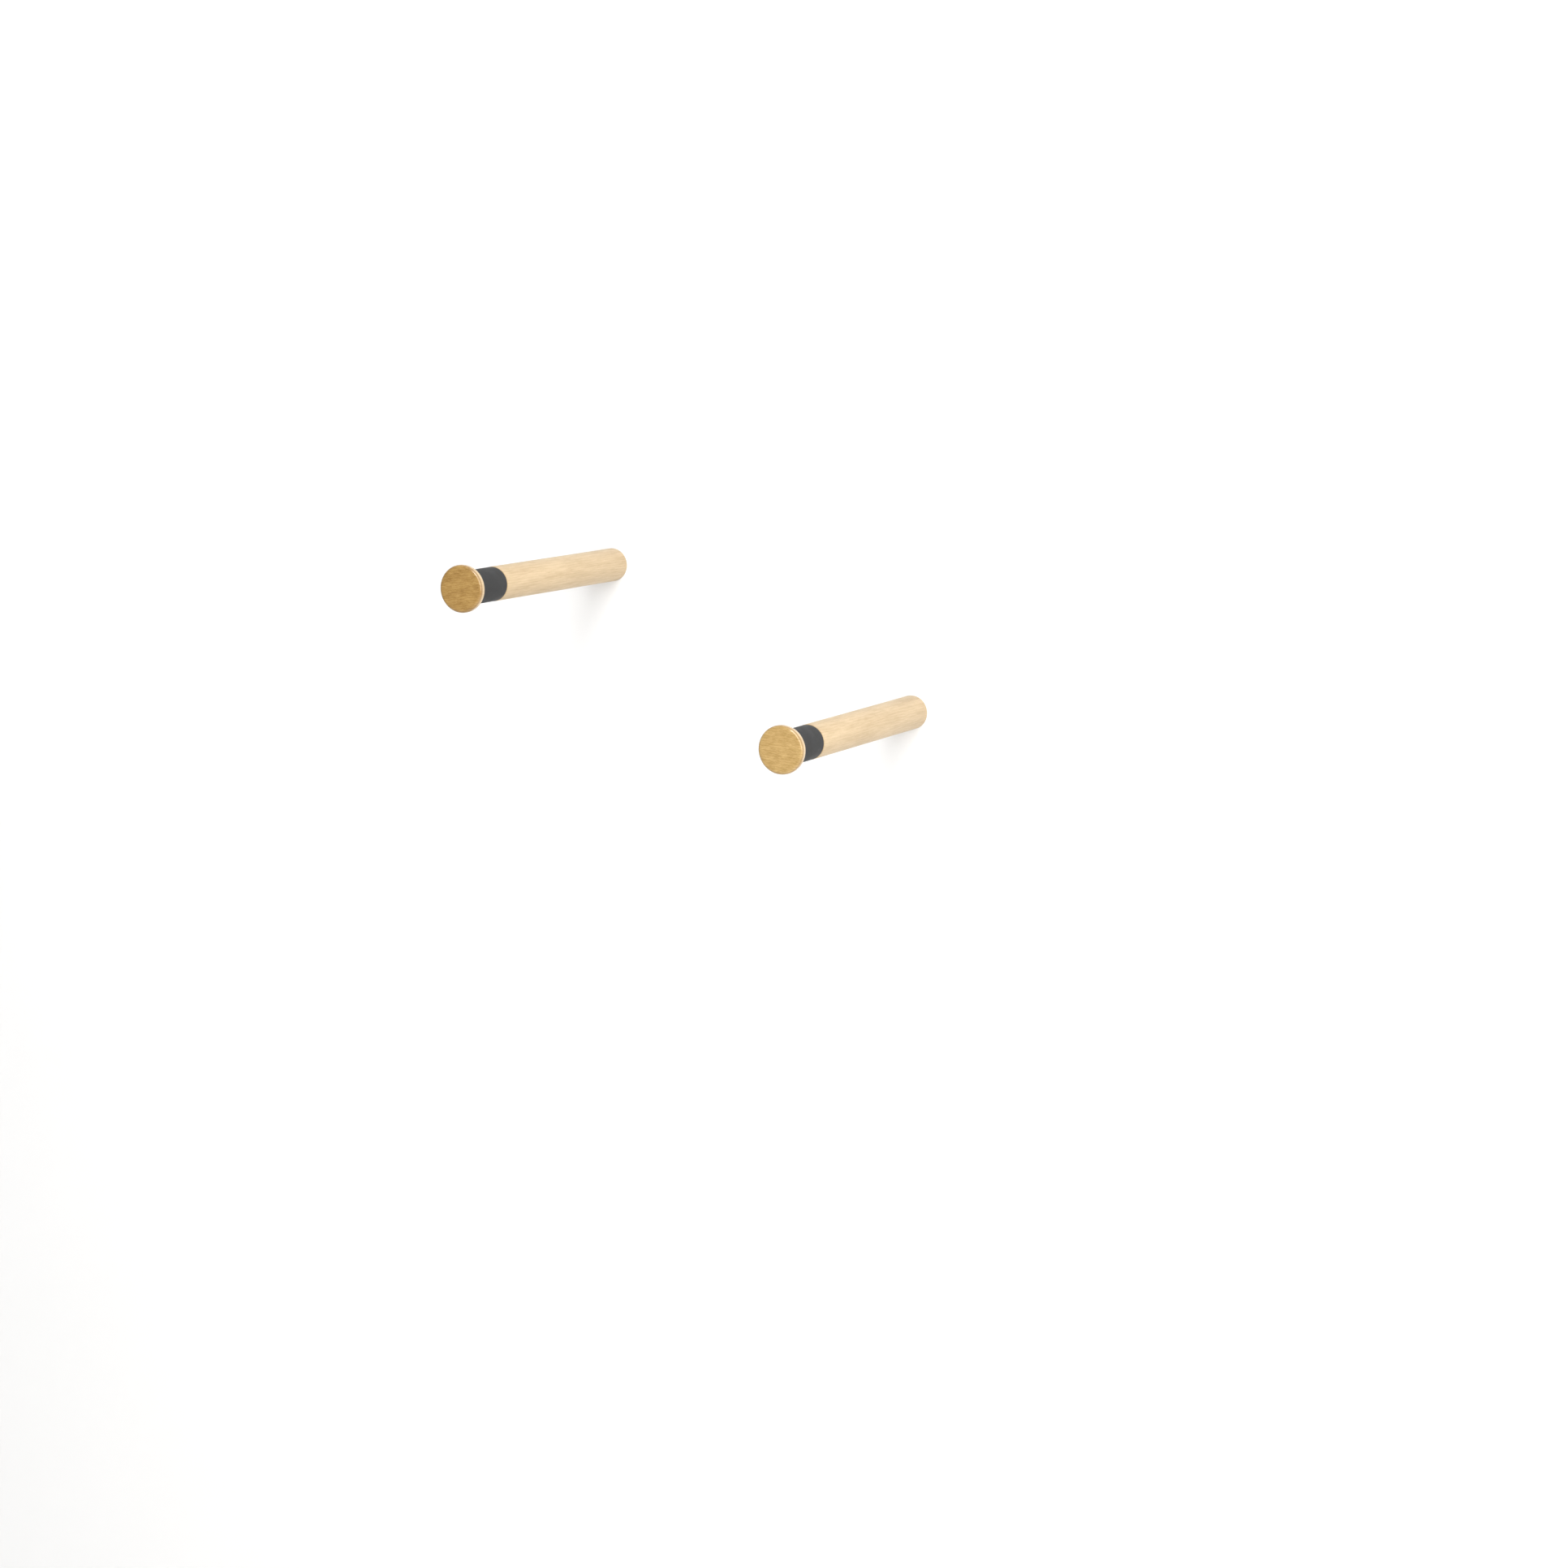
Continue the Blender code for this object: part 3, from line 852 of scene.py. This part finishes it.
@dataclass(frozen=True)
class NylonFinish:
    """Moulded grey nylon, semi-matte, clouded where it flowed.

    Attributes:
        name: The material's name.
        grey: Colour of the denser nylon.
        light: Colour of the paler flow marks.
        flow: The flow marks.
        tooth: The moulded skin.
        tooth_height: Height of the skin's tooth.
    """

    name: str
    grey: Colour = srgb(146, 149, 153)
    light: Colour = srgb(170, 172, 174)
    flow: Grain = Grain((220, 60, 220), 3.0)
    tooth: Grain = Grain((3000, 3000, 3000), 1.0)
    tooth_height: float = 0.015 * MM

    def material(self) -> bpy.types.Material:
        """Build the material."""
        graph = ShaderGraph(self.name)
        spot = graph.place()
        flow = graph.noise(self.flow, spot)
        return graph.dress(
            base_color=graph.mix(graph.spread(flow, 0.35, 0.65, 0.0, 1.0), self.grey, self.light),
            roughness=graph.even(flow, 0.42, 0.55),
            normal=graph.bump(graph.noise(self.tooth, spot), self.tooth_height),
            specular_ior_level=0.45,
        )


@dataclass(frozen=True)
class PaintFinish:
    """Plain matte paint for the room, clear to whoever looks at its back.

    Attributes:
        name: The material's name.
        colour: The paint's colour.
        darkest: Share of that colour left in the darkest clouds.
        cloud: The clouds.
        stipple: The roller's marks.
        stipple_height: Height of those marks.
    """

    name: str
    colour: Colour
    darkest: float = 0.985
    cloud: Grain = Grain((3, 3, 3))
    stipple: Grain = Grain((700, 700, 700), 3.0)
    stipple_height: float = 0.03 * MM

    def material(self) -> bpy.types.Material:
        """Build the material."""
        graph = ShaderGraph(self.name)
        spot = graph.place()
        stipple = graph.noise(self.stipple, spot)
        darker = tuple(self.darkest * share for share in self.colour)
        graph.dress(
            base_color=graph.mix(graph.noise(self.cloud, spot), self.colour, darker),
            roughness=graph.even(stipple, 0.82, 0.92),
            normal=graph.bump(stipple, self.stipple_height),
            specular_ior_level=0.2,
        )
        back = graph.add("ShaderNodeNewGeometry").outputs["Backfacing"]
        clear = graph.add("ShaderNodeBsdfTransparent").outputs[0]
        either = graph.add("ShaderNodeMixShader", {0: back, 1: graph.shader.outputs[0], 2: clear})
        graph.feed(graph.output.inputs["Surface"], either.outputs[0])
        return graph.material


# ---------------------------------------------------------------------------------------------
# Sub-assemblies
# ---------------------------------------------------------------------------------------------


@dataclass
class PegSite:
    """Place of one peg and the sizes that the frame gives its pieces.

    Attributes:
        side: Which peg.
        workshop: The shared tools.
    """

    side: Side
    workshop: Workshop

    def node(self, piece: str) -> str:
        """Name of one of the peg's CAD nodes."""
        return f"{self.side.value}_{piece}"

    def axis(self) -> tuple[float, float]:
        """Place of the peg's axis on the wall, as X and Z."""
        low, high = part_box(self.node("shaft"))
        middle = (low + high) / 2
        return middle.x, middle.z

    def matrix(self) -> Matrix:
        """Turn and move from the peg's own axis to its place on the wall."""
        x, z = self.axis()
        return Matrix.Translation((x, 0.0, z)) @ Matrix.Rotation(math.pi / 2, 4, "X")

    def radius(self, piece: str) -> float:
        """Outer radius of a round piece."""
        low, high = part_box(self.node(piece))
        return (high.z - low.z) / 2

    def span(self, piece: str) -> tuple[float, float]:
        """Lowest and highest place of a piece along the axis, measured out of the wall."""
        low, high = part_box(self.node(piece))
        return -high.y, -low.y

    def show(
        self, piece: str, meshes: Sequence[bpy.types.Mesh], material: bpy.types.Material, slot: Slot
    ) -> None:
        """Weld a piece's meshes, set it in place and show it for its CAD node.

        Args:
            piece: The piece's name, without its side.
            meshes: The parts of its skin, about the peg's axis.
            material: Its finish.
            slot: The record's slot of that finish.
        """
        mesh = welded(meshes, self.matrix())
        show(f"{self.side.value}_{piece}_piece", mesh, material, self.node(piece), slot)


@dataclass
class TurnedPeg:
    """The oak of one peg: the shaft with its neck, and the head with its spigot.

    Attributes:
        site: Where the peg is.
        heart: Where the shaft's tree had its centre, from the peg's axis as X and Z.
        head_heart: The same for the head's tree.
        head_pale: Colour of the head's dense end grain.
        head_tan: Colour of the head's open end grain.
        rim_pale: Colour of the head's dense wood round its rim.
        rim_tan: Colour of the head's open wood round its rim.
        segments: Faces round the wood.
        neck_radius: Radius of the neck under the sleeve.
        spigot_bore: Radius of the bore for the head's spigot.
        insert_bore: Radius of the bore for the threaded insert.
        insert_bore_end: Bottom of that bore.
        bolt_bore: Radius of the bore past the insert.
        bolt_bore_end: Bottom of that bore.
        clearance: Gap between the shaft's neck or bore and what it meets.
        shoulder_round: Rounding of the shoulder behind the sleeve.
        wall_round: Rounding of the edge at the wall.
        head_round: Rounding of the head's front edge.
        head_back_round: Rounding of the head's back edge.
        head_thickness: Thickness of the head's disc.
        spigot_radius: Radius of the spigot.
        glue_pitch: Distance between the spigot's glue rings.
        glue_depth: Depth of a glue ring.
        spigot_bevel: Bevel of the spigot's end.
    """

    site: PegSite
    heart: tuple[float, float]
    head_heart: tuple[float, float]
    head_pale: Colour
    head_tan: Colour
    rim_pale: Colour = srgb(198, 173, 134)
    rim_tan: Colour = srgb(176, 149, 108)
    segments: int = 160
    neck_radius: float = 16 * MM
    spigot_bore: float = 10.3 * MM
    insert_bore: float = 9.3 * MM
    insert_bore_end: float = 25.8 * MM
    bolt_bore: float = 5.3 * MM
    bolt_bore_end: float = 48 * MM
    clearance: float = 0.3 * MM
    shoulder_round: float = 1.2 * MM
    wall_round: float = 0.6 * MM
    head_round: float = 3.8 * MM
    head_back_round: float = 0.8 * MM
    head_thickness: float = 7 * MM
    spigot_radius: float = 10 * MM
    glue_pitch: float = 8 * MM
    glue_depth: float = 0.6 * MM
    spigot_bevel: float = 1.5 * MM

    def shaft_outline(self) -> Outline:
        """Outline of the shaft, from the bottom of the front bore round to the bottom of the rear one."""
        radius = self.site.radius("shaft")
        neck_end = self.site.span("shaft")[1]
        bore_end = self.site.span("head")[0] - self.clearance
        shoulder = self.site.span("sleeve")[0] - self.clearance
        outline = Outline().to(0.0, bore_end).to(self.spigot_bore, bore_end)
        outline.to(self.spigot_bore, neck_end).to(self.neck_radius, neck_end)
        outline.to(self.neck_radius, shoulder)
        bend = self.shoulder_round
        outline.arc(radius - bend, shoulder - bend, bend, 90, 0)
        outline.arc(radius - self.wall_round, self.wall_round, self.wall_round, 0, -90, 4)
        outline.to(self.insert_bore, 0.0).to(self.insert_bore, self.insert_bore_end)
        outline.to(self.bolt_bore, self.insert_bore_end).to(self.bolt_bore, self.bolt_bore_end)
        return outline.to(0.0, self.bolt_bore_end)

    def head_outline(self) -> Outline:
        """Outline of the head, from the middle of its face round to the end of its spigot."""
        radius = self.site.radius("head")
        spigot_end, front = self.site.span("head")
        back = front - self.head_thickness
        back_round = self.head_back_round
        outline = Outline().to(0.0, front)
        outline.arc(radius - self.head_round, front - self.head_round, self.head_round, 90, 0, 12)
        outline.arc(radius - back_round, back + back_round, back_round, 0, -90, 4)
        outline.to(self.spigot_radius, back)
        ring = back - self.glue_pitch
        while ring > spigot_end + self.glue_pitch / 2:
            outline.to(self.spigot_radius, ring + self.glue_depth)
            outline.to(self.spigot_radius - self.glue_depth, ring)
            outline.to(self.spigot_radius, ring - self.glue_depth)
            ring -= self.glue_pitch
        outline.to(self.spigot_radius, spigot_end + self.spigot_bevel)
        return outline.to(self.spigot_radius - self.spigot_bevel, spigot_end).to(0.0, spigot_end)

    def oak(self, piece: str, heart: tuple[float, float], **traits: Colour | float) -> bpy.types.Material:
        """Finish of one wooden piece.

        Args:
            piece: The piece's name, without its side.
            heart: Where its tree had its centre, from the peg's axis as X and Z.
            traits: Its own colours, gloss and share of painted edge shade, named as in the finish.

        Returns:
            The material.
        """
        x, z = self.site.axis()
        name = f"{self.site.side.value} {piece} oak"
        return OakFinish(name, (x + heart[0], z + heart[1]), **traits).material()

    def build(self) -> None:
        """Build and show both wooden pieces."""
        turn = self.site.workshop.turn
        oak = self.oak("shaft", self.heart)
        self.site.show("shaft", [turn(self.shaft_outline(), self.segments, oak)], oak, Slot.OAK)
        oak = self.oak(
            "head", self.head_heart, pale=self.rim_pale, tan=self.rim_tan,
            end_pale=self.head_pale, end_tan=self.head_tan, **HEAD_LACQUER_AND_EDGE_SHADE,
        )
        self.site.show("head", [turn(self.head_outline(), self.segments, oak)], oak, Slot.END_GRAIN)


@dataclass
class GripSleeve:
    """The rubber sleeve on one peg's neck.

    Attributes:
        site: Where the peg is.
        segments: Faces round it.
        bore: Radius of its bore.
        edge_round: Rounding of its outer edges.
    """

    site: PegSite
    segments: int = 160
    bore: float = 16.3 * MM
    edge_round: float = 0.7 * MM

    def outline(self) -> Outline:
        """Outline of the tube, closed through its bore."""
        radius = self.site.radius("sleeve") - self.edge_round
        low, high = self.site.span("sleeve")
        outline = Outline().to(self.bore, high)
        outline.arc(radius, high - self.edge_round, self.edge_round, 90, 0, 6)
        outline.arc(radius, low + self.edge_round, self.edge_round, 0, -90, 6)
        return outline.to(self.bore, low).closed()

    def build(self) -> None:
        """Build and show the sleeve."""
        low, high = self.site.span("sleeve")
        rubber = RubberFinish(f"{self.site.side.value} sleeve rubber", (-high, -low)).material()
        mesh = self.site.workshop.turn(self.outline(), self.segments, rubber)
        self.site.show("sleeve", [mesh], rubber, Slot.RUBBER)


def metric_form() -> Outline:
    """One turn of a metric thread: rounded root, straight flanks and a flat crest."""
    return Outline().to(0.0, 0.0).to(0.08, 0.12).to(1.0, 0.44).to(1.0, 0.56).to(0.08, 0.88)


def knife_form() -> Outline:
    """One turn of a coarse thread for wood: a wide root and a thin, steep crest."""
    return Outline().to(0.0, 0.0).to(0.0, 0.5).to(0.3, 0.66).to(1.0, 0.78).to(1.0, 0.82).to(0.3, 0.9)


@dataclass
class HangerBolt:
    """The steel bolt of one peg: point and wood thread in the plug, metric thread in the insert.

    Attributes:
        site: Where the peg is.
        segments: Faces round it, a multiple of 12 so that the key socket has its corners.
        root: Radius at the metric thread's root.
        pitch: Pitch of the metric thread.
        fade: Length in which it fades out.
        bevel: Bevel of its end.
        end_radius: Radius that the bevel leaves.
        shank_radius: Radius of the plain shank.
        shank_low: Where the shank meets the wood thread.
        shank_bevels: Lengths of its two bevels, at the metric thread and at the wood thread.
        wood_root: Radius at the wood thread's root.
        wood_pitch: Pitch of the wood thread.
        wood_fade: Length in which it fades out.
        point_length: Length of the point.
        point_share: Share of the radius that is left at the point's end.
        key_half_flats: Half the key socket's width across flats.
        key_lip: Width of the bevel round the key socket.
        key_depth: Depth of the key socket.
    """

    site: PegSite
    segments: int = 72
    root: float = 4.1 * MM
    pitch: float = 1.5 * MM
    fade: float = 1.2 * MM
    bevel: float = 1.0 * MM
    end_radius: float = 3.6 * MM
    shank_radius: float = 4.5 * MM
    shank_low: float = -8 * MM
    shank_bevels: tuple[float, float] = (0.6 * MM, 1.0 * MM)
    wood_root: float = 3.4 * MM
    wood_pitch: float = 4.5 * MM
    wood_fade: float = 2.5 * MM
    point_length: float = 11 * MM
    point_share: float = 0.1
    key_half_flats: float = 2.5 * MM
    key_lip: float = 0.4 * MM
    key_depth: float = 5 * MM

    def turned_parts(self, low: float, high: float) -> list[Outline]:
        """Outlines of the shank, the bevelled end with its key socket, and the point's tip.

        Args:
            low: Place of the point.
            high: Place of the end.

        Returns:
            The three outlines.
        """
        front_bevel, rear_bevel = self.shank_bevels
        shank = Outline().to(self.root, 0.0).to(self.shank_radius, -front_bevel)
        shank.to(self.shank_radius, self.shank_low + rear_bevel).to(self.wood_root, self.shank_low)
        flats = self.key_half_flats
        end = Outline().to(0.0, high - self.key_depth).to(flats, high - self.key_depth, hexagonal=True)
        end.to(flats, high - self.key_lip / 2, hexagonal=True).to(flats + self.key_lip, high)
        end.to(self.end_radius, high).to(self.root, high - self.bevel)
        tip = Outline().to(self.wood_root * self.point_share, low).to(0.0, low)
        return [shank, end, tip]

    def build(self) -> None:
        """Build and show the bolt."""
        low, high = self.site.span("hanger_bolt")
        crest = self.site.radius("hanger_bolt")
        name = f"{self.site.side.value} bolt zinc"
        zinc = ZincFinish(name, self.site.axis(), self.wood_root, crest).material()
        workshop = self.site.workshop
        wood = workshop.thread(
            knife_form(), self.segments, zinc,
            low=low, high=self.shank_low, root=self.wood_root, crest=crest, pitch=self.wood_pitch,
            fade=self.wood_fade, point_length=self.point_length, point_share=self.point_share,
        )
        metric = workshop.thread(
            metric_form(), self.segments, zinc,
            low=0.0, high=high - self.bevel, root=self.root, crest=crest, pitch=self.pitch,
            fade=self.fade, point_length=1.0, point_share=1.0,
        )
        turned = [workshop.turn(part, self.segments, zinc) for part in self.turned_parts(low, high)]
        self.site.show("hanger_bolt", [wood, metric, *turned], zinc, Slot.ZINC)


@dataclass
class ThreadedInsert:
    """The steel insert in one shaft: coarse outside, hexagon socket and metric bore.

    Attributes:
        site: Where the peg is.
        segments: Faces round it, a multiple of 12 so that the socket has its corners.
        root: Radius at the outer thread's root.
        pitch: Pitch of the outer thread.
        lead: Plain length at each end of it.
        edge: Bevel of the outer edges.
        bore_crest: Radius at the inner thread's crest.
        bore_root: Radius at the inner thread's root.
        bore_pitch: Pitch of the inner thread.
        bore_lip: Bevel at the bore's mouth.
        half_flats: Half the socket's width across flats.
        socket_depth: Depth of the socket.
    """

    site: PegSite
    segments: int = 72
    root: float = 7.7 * MM
    pitch: float = 3.5 * MM
    lead: float = 1.0 * MM
    edge: float = 0.3 * MM
    bore_crest: float = 5.06 * MM
    bore_root: float = 5.4 * MM
    bore_pitch: float = 1.5 * MM
    bore_lip: float = 0.5 * MM
    half_flats: float = 6 * MM
    socket_depth: float = 5 * MM

    def turned_parts(self, low: float, high: float) -> list[Outline]:
        """Outlines of the front end and of the rear end with its socket.

        Args:
            low: Place of the end at the wall.
            high: Place of the end inside the shaft.

        Returns:
            The two outlines.
        """
        socket_end = low + self.socket_depth
        front = Outline().to(self.bore_root, high - self.bore_lip).to(self.bore_root + self.bore_lip, high)
        front.to(self.root - self.edge, high).to(self.root, high - self.edge)
        front.to(self.root, high - self.lead)
        rear = Outline().to(self.root, low + self.lead).to(self.root, low + self.edge)
        rear.to(self.root - self.edge, low)
        rear.to(self.half_flats, low, hexagonal=True).to(self.half_flats, socket_end, hexagonal=True)
        rear.to(self.bore_root, socket_end)
        return [front, rear]

    def build(self) -> None:
        """Build and show the insert."""
        low, high = self.site.span("threaded_insert")
        crest = self.site.radius("threaded_insert")
        name = f"{self.site.side.value} insert zinc"
        zinc = ZincFinish(name, self.site.axis(), self.root, crest).material()
        workshop = self.site.workshop
        coarse = workshop.thread(
            knife_form(), self.segments, zinc,
            low=low + self.lead, high=high - self.lead, root=self.root, crest=crest, pitch=self.pitch,
            fade=self.lead, point_length=1.0, point_share=1.0,
        )
        bore = workshop.thread(
            metric_form(), self.segments, zinc,
            low=low + self.socket_depth, high=high - self.bore_lip, root=self.bore_root,
            crest=self.bore_crest, pitch=self.bore_pitch, fade=self.bore_lip,
            point_length=1.0, point_share=1.0,
        )
        turned = [workshop.turn(part, self.segments, zinc) for part in self.turned_parts(low, high)]
        self.site.show("threaded_insert", [coarse, bore, *turned], zinc, Slot.ZINC)


@dataclass
class WallPlug:
    """The nylon plug of one peg: barbed tube with four legs and two fins that stop it turning.

    Attributes:
        site: Where the peg is.
        segments: Faces round it.
        bore: Radius of its bore.
        radius: Its outer radius.
        groove: Radius in the grooves between the barbs.
        lip: Bevel of its mouth.
        collar: Plain length at its mouth.
        barb: Pitch of the barbs.
        barb_land: Length of a barb's outer land.
        barb_step: Length of the step down behind a barb.
        nose: Length of the tapered nose.
        nose_radius: Radius at the nose's end.
        nose_bevel: Bevel of the nose's end.
        slot_width: Width of the slots between the legs.
        slot_start: Where the slots start.
        fin_thickness: Thickness of a fin.
        fin_root: Where a fin starts inside the wall of the tube.
        fin_start: Place of a fin's front end.
        fin_stop: Place of a fin's rear end.
    """

    site: PegSite
    segments: int = 72
    bore: float = 5.3 * MM
    radius: float = 7 * MM
    groove: float = 6.3 * MM
    lip: float = 0.4 * MM
    collar: float = 12 * MM
    barb: float = 5 * MM
    barb_land: float = 0.5 * MM
    barb_step: float = 0.75 * MM
    nose: float = 6 * MM
    nose_radius: float = 5.9 * MM
    nose_bevel: float = 0.3 * MM
    slot_width: float = 1.6 * MM
    slot_start: float = -20 * MM
    fin_thickness: float = 1.2 * MM
    fin_root: float = 5.9 * MM
    fin_start: float = -3 * MM
    fin_stop: float = -17 * MM

    def outline(self) -> Outline:
        """Outline of the barbed tube, closed through its bore."""
        nose, mouth = self.site.span("wall_plug")
        outline = Outline().to(self.bore, mouth - self.lip).to(self.bore + self.lip, mouth)
        outline.to(self.radius - self.lip, mouth).to(self.radius, mouth - self.lip)
        barb = mouth - self.collar
        while barb > nose + self.nose + self.barb:
            outline.to(self.radius, barb + self.barb_land).to(self.radius - self.lip / 4, barb)
            outline.to(self.groove, barb - self.barb_step)
            outline.to(self.groove + self.lip / 4, barb - 2 * self.barb_step)
            barb -= self.barb
        outline.to(self.radius, nose + self.nose)
        outline.to(self.nose_radius, nose + self.nose_bevel)
        return outline.to(self.nose_radius - self.nose_bevel, nose).to(self.bore, nose).closed()

    def build(self) -> None:
        """Build and show the plug."""
        site = self.site
        nylon = NylonFinish(f"{site.side.value} plug nylon").material()
        body = welded([site.workshop.turn(self.outline(), self.segments, nylon)], Matrix.Identity(4))
        low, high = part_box(site.node("wall_plug"))
        plug = site.workshop.splitting.run(
            body, nylon,
            blades=2, slot_width=self.slot_width, slot_start=self.slot_start,
            nose=site.span("wall_plug")[0], reach=self.radius + self.slot_width,
            fin_thickness=self.fin_thickness, fin_start=self.fin_start, fin_stop=self.fin_stop,
            fin_root=self.fin_root, fin_tip=(high.x - low.x) / 2,
        )
        site.show("wall_plug", [plug], nylon, Slot.NYLON)


# ---------------------------------------------------------------------------------------------
# Room
# ---------------------------------------------------------------------------------------------


@dataclass
class Softbox:
    """One soft studio light.

    Attributes:
        name: Its name.
        place: Where it stands, in metres.
        aim: What it is aimed at.
        size: Its width and height.
        power: Its power in watts.
        roll: Turn about its own direction, in degrees.
    """

    name: str
    place: tuple[float, float, float]
    aim: tuple[float, float, float]
    size: tuple[float, float]
    power: float
    roll: float = 0.0

    def build(self) -> None:
        """Make the light and aim it."""
        data = bpy.data.lights.new(self.name, "AREA")
        data.shape = "RECTANGLE"
        data.size, data.size_y = self.size
        data.energy = self.power
        light = bpy.data.objects.new(self.name, data)
        light.location = self.place
        light.rotation_mode = "QUATERNION"
        aimed = (Vector(self.aim) - light.location).to_track_quat("-Z", "Y")
        light.rotation_quaternion = aimed @ Quaternion((0.0, 0.0, 1.0), math.radians(self.roll))
        light.visible_camera = False
        bpy.context.scene.collection.objects.link(light)


@dataclass
class RoomAir:
    """The light that comes from all round, brightest from one side.

    Attributes:
        bright_side: Direction that the most light comes from.
        dim: Brightness from the opposite direction.
        bright: Brightness from the bright side.
    """

    bright_side: tuple[float, float, float] = (0.75, -0.45, 0.48)
    dim: float = 0.24
    bright: float = 0.73

    def build(self) -> None:
        """Make the scene's world."""
        world = bpy.data.worlds.new("room air")
        world.use_nodes = True
        graph = NodeGraph(world.node_tree)
        direction = graph.add("ShaderNodeTexCoord").outputs["Generated"]
        side = tuple(Vector(self.bright_side).normalized())
        facing = graph.add("ShaderNodeVectorMath", {0: direction, 1: side}, operation="DOT_PRODUCT")
        toward = facing.outputs["Value"]
        middle, swing = (self.bright + self.dim) / 2, (self.bright - self.dim) / 2
        background = world.node_tree.nodes["Background"]
        graph.feed(background.inputs["Color"], (1.0, 1.0, 1.0))
        graph.feed(background.inputs["Strength"], graph.math("MULTIPLY_ADD", toward, swing, middle))
        bpy.context.scene.world = world


@dataclass
class Studio:
    """The plain room: white wall, pale floor, soft light and camera.

    Attributes:
        sites: The pegs' places, where the wall is open behind the pegs.
        rack_height: Height of the rack's middle above the floor.
        width: Width of the wall and floor.
        wall_height: Height of the wall.
        depth: Depth of the floor.
        wall_gap: Distance of the wall's sheet behind the pegs' rear ends.
        hole_margin: How much smaller than a peg's radius the wall's opening is.
        wall_colour: Colour of the wall's paint.
        floor_colour: Colour of the floor's paint.
        camera_place: Where the camera stands, from the middle of the rack on the wall.
        camera_turn: Turn to the left of the wall's normal, in degrees.
        camera_dip: Look down from level, in degrees.
        lens: Focal length in millimetres on a sensor 36 mm wide.
    """

    sites: Sequence[PegSite]
    rack_height: float = 1.35
    width: float = 7.0
    wall_height: float = 3.0
    depth: float = 6.0
    wall_gap: float = 0.2 * MM
    hole_margin: float = 0.7 * MM
    wall_colour: Colour = (0.87, 0.87, 0.87)
    floor_colour: Colour = (0.78, 0.77, 0.75)
    camera_place: tuple[float, float, float] = (1.724, -3.765, 0.4145)
    camera_turn: float = 24.218
    camera_dip: float = 8.027
    lens: float = 83.49

    def sheet(
        self,
        name: str,
        corners: Sequence[Sequence[float]],
        paint: PaintFinish,
        holes: Sequence[tuple[Matrix, float]] = (),
    ) -> None:
        """Make a flat sheet of the room.

        Args:
            name: Its name.
            corners: Its four corners, counter-clockwise for whoever faces it.
            paint: Its finish.
            holes: Place and radius of each round hole.
        """
        bm = bmesh.new()
        outline = [bm.verts.new(corner) for corner in corners]
        for start, stop in zip(outline, outline[1:] + outline[:1]):
            bm.edges.new((start, stop))
        for place, radius in holes:
            bmesh.ops.create_circle(bm, segments=HOLE_SEGMENTS, radius=radius, matrix=place)
        across, up = (outline[1].co - outline[0].co), (outline[2].co - outline[1].co)
        facing = across.cross(up).normalized()
        bmesh.ops.triangle_fill(bm, edges=bm.edges, normal=facing, use_beauty=True)
        mesh = bpy.data.meshes.new(name)
        bm.to_mesh(mesh)
        bm.free()
        mesh.materials.append(paint.material())
        sheet = bpy.data.objects.new(name, mesh)
        bpy.context.scene.collection.objects.link(sheet)

    def camera(self) -> None:
        """Make the camera and give it to the scene."""
        data = bpy.data.cameras.new("camera")
        data.lens = self.lens
        camera = bpy.data.objects.new("camera", data)
        camera.location = self.camera_place
        camera.rotation_euler = (math.radians(90 - self.camera_dip), 0.0, math.radians(self.camera_turn))
        bpy.context.scene.collection.objects.link(camera)
        bpy.context.scene.camera = camera

    def build(self) -> None:
        """Make the camera, wall, floor and lights."""
        self.camera()
        half, down, up = self.width / 2, -self.rack_height, self.wall_height - self.rack_height
        gap, deep = self.wall_gap, self.depth
        wall = [(-half, gap, down), (half, gap, down), (half, gap, up), (-half, gap, up)]
        backward = Matrix.Translation((0.0, gap, 0.0))
        holes = [(backward @ site.matrix(), site.radius("shaft") - self.hole_margin) for site in self.sites]
        self.sheet("wall", wall, PaintFinish("white wall paint", self.wall_colour), holes)
        floor = [(-half, -deep, down), (half, -deep, down), (half, deep, down), (-half, deep, down)]
        self.sheet("floor", floor, PaintFinish("pale floor", self.floor_colour))
        RoomAir().build()
        Softbox("overhead", place=(1.3, -2.66, 3.7), aim=(0, -0.1, 0), size=(2.4, 2.1), power=56.0).build()
        Softbox(
            "window", place=(2.24, -3.0, 1.54), aim=(0, -0.3, 0), size=(1.2, 5.2), power=164.0, roll=28.0
        ).build()
        bpy.context.scene.view_settings.view_transform = "Standard"


def main() -> None:
    """Build the room and both pegs."""
    logging.basicConfig(level=logging.INFO, format="%(message)s")
    workshop = Workshop()
    upper, lower = PegSite(Side.UPPER, workshop), PegSite(Side.LOWER, workshop)
    Studio((upper, lower)).build()
    # The upper head is given darker end grain than the lower one.
    TurnedPeg(
        upper, heart=(0.03, -0.19), head_heart=(0.02, -0.17),
        head_pale=srgb(177, 142, 79), head_tan=srgb(136, 100, 42),
    ).build()
    TurnedPeg(
        lower, heart=(-0.02, -0.23), head_heart=(-0.03, -0.21),
        head_pale=srgb(197, 165, 108), head_tan=srgb(155, 123, 65),
    ).build()
    for site in (upper, lower):
        GripSleeve(site).build()
        ThreadedInsert(site).build()
        HangerBolt(site).build()
        WallPlug(site).build()


if __name__ == "__main__":
    main()
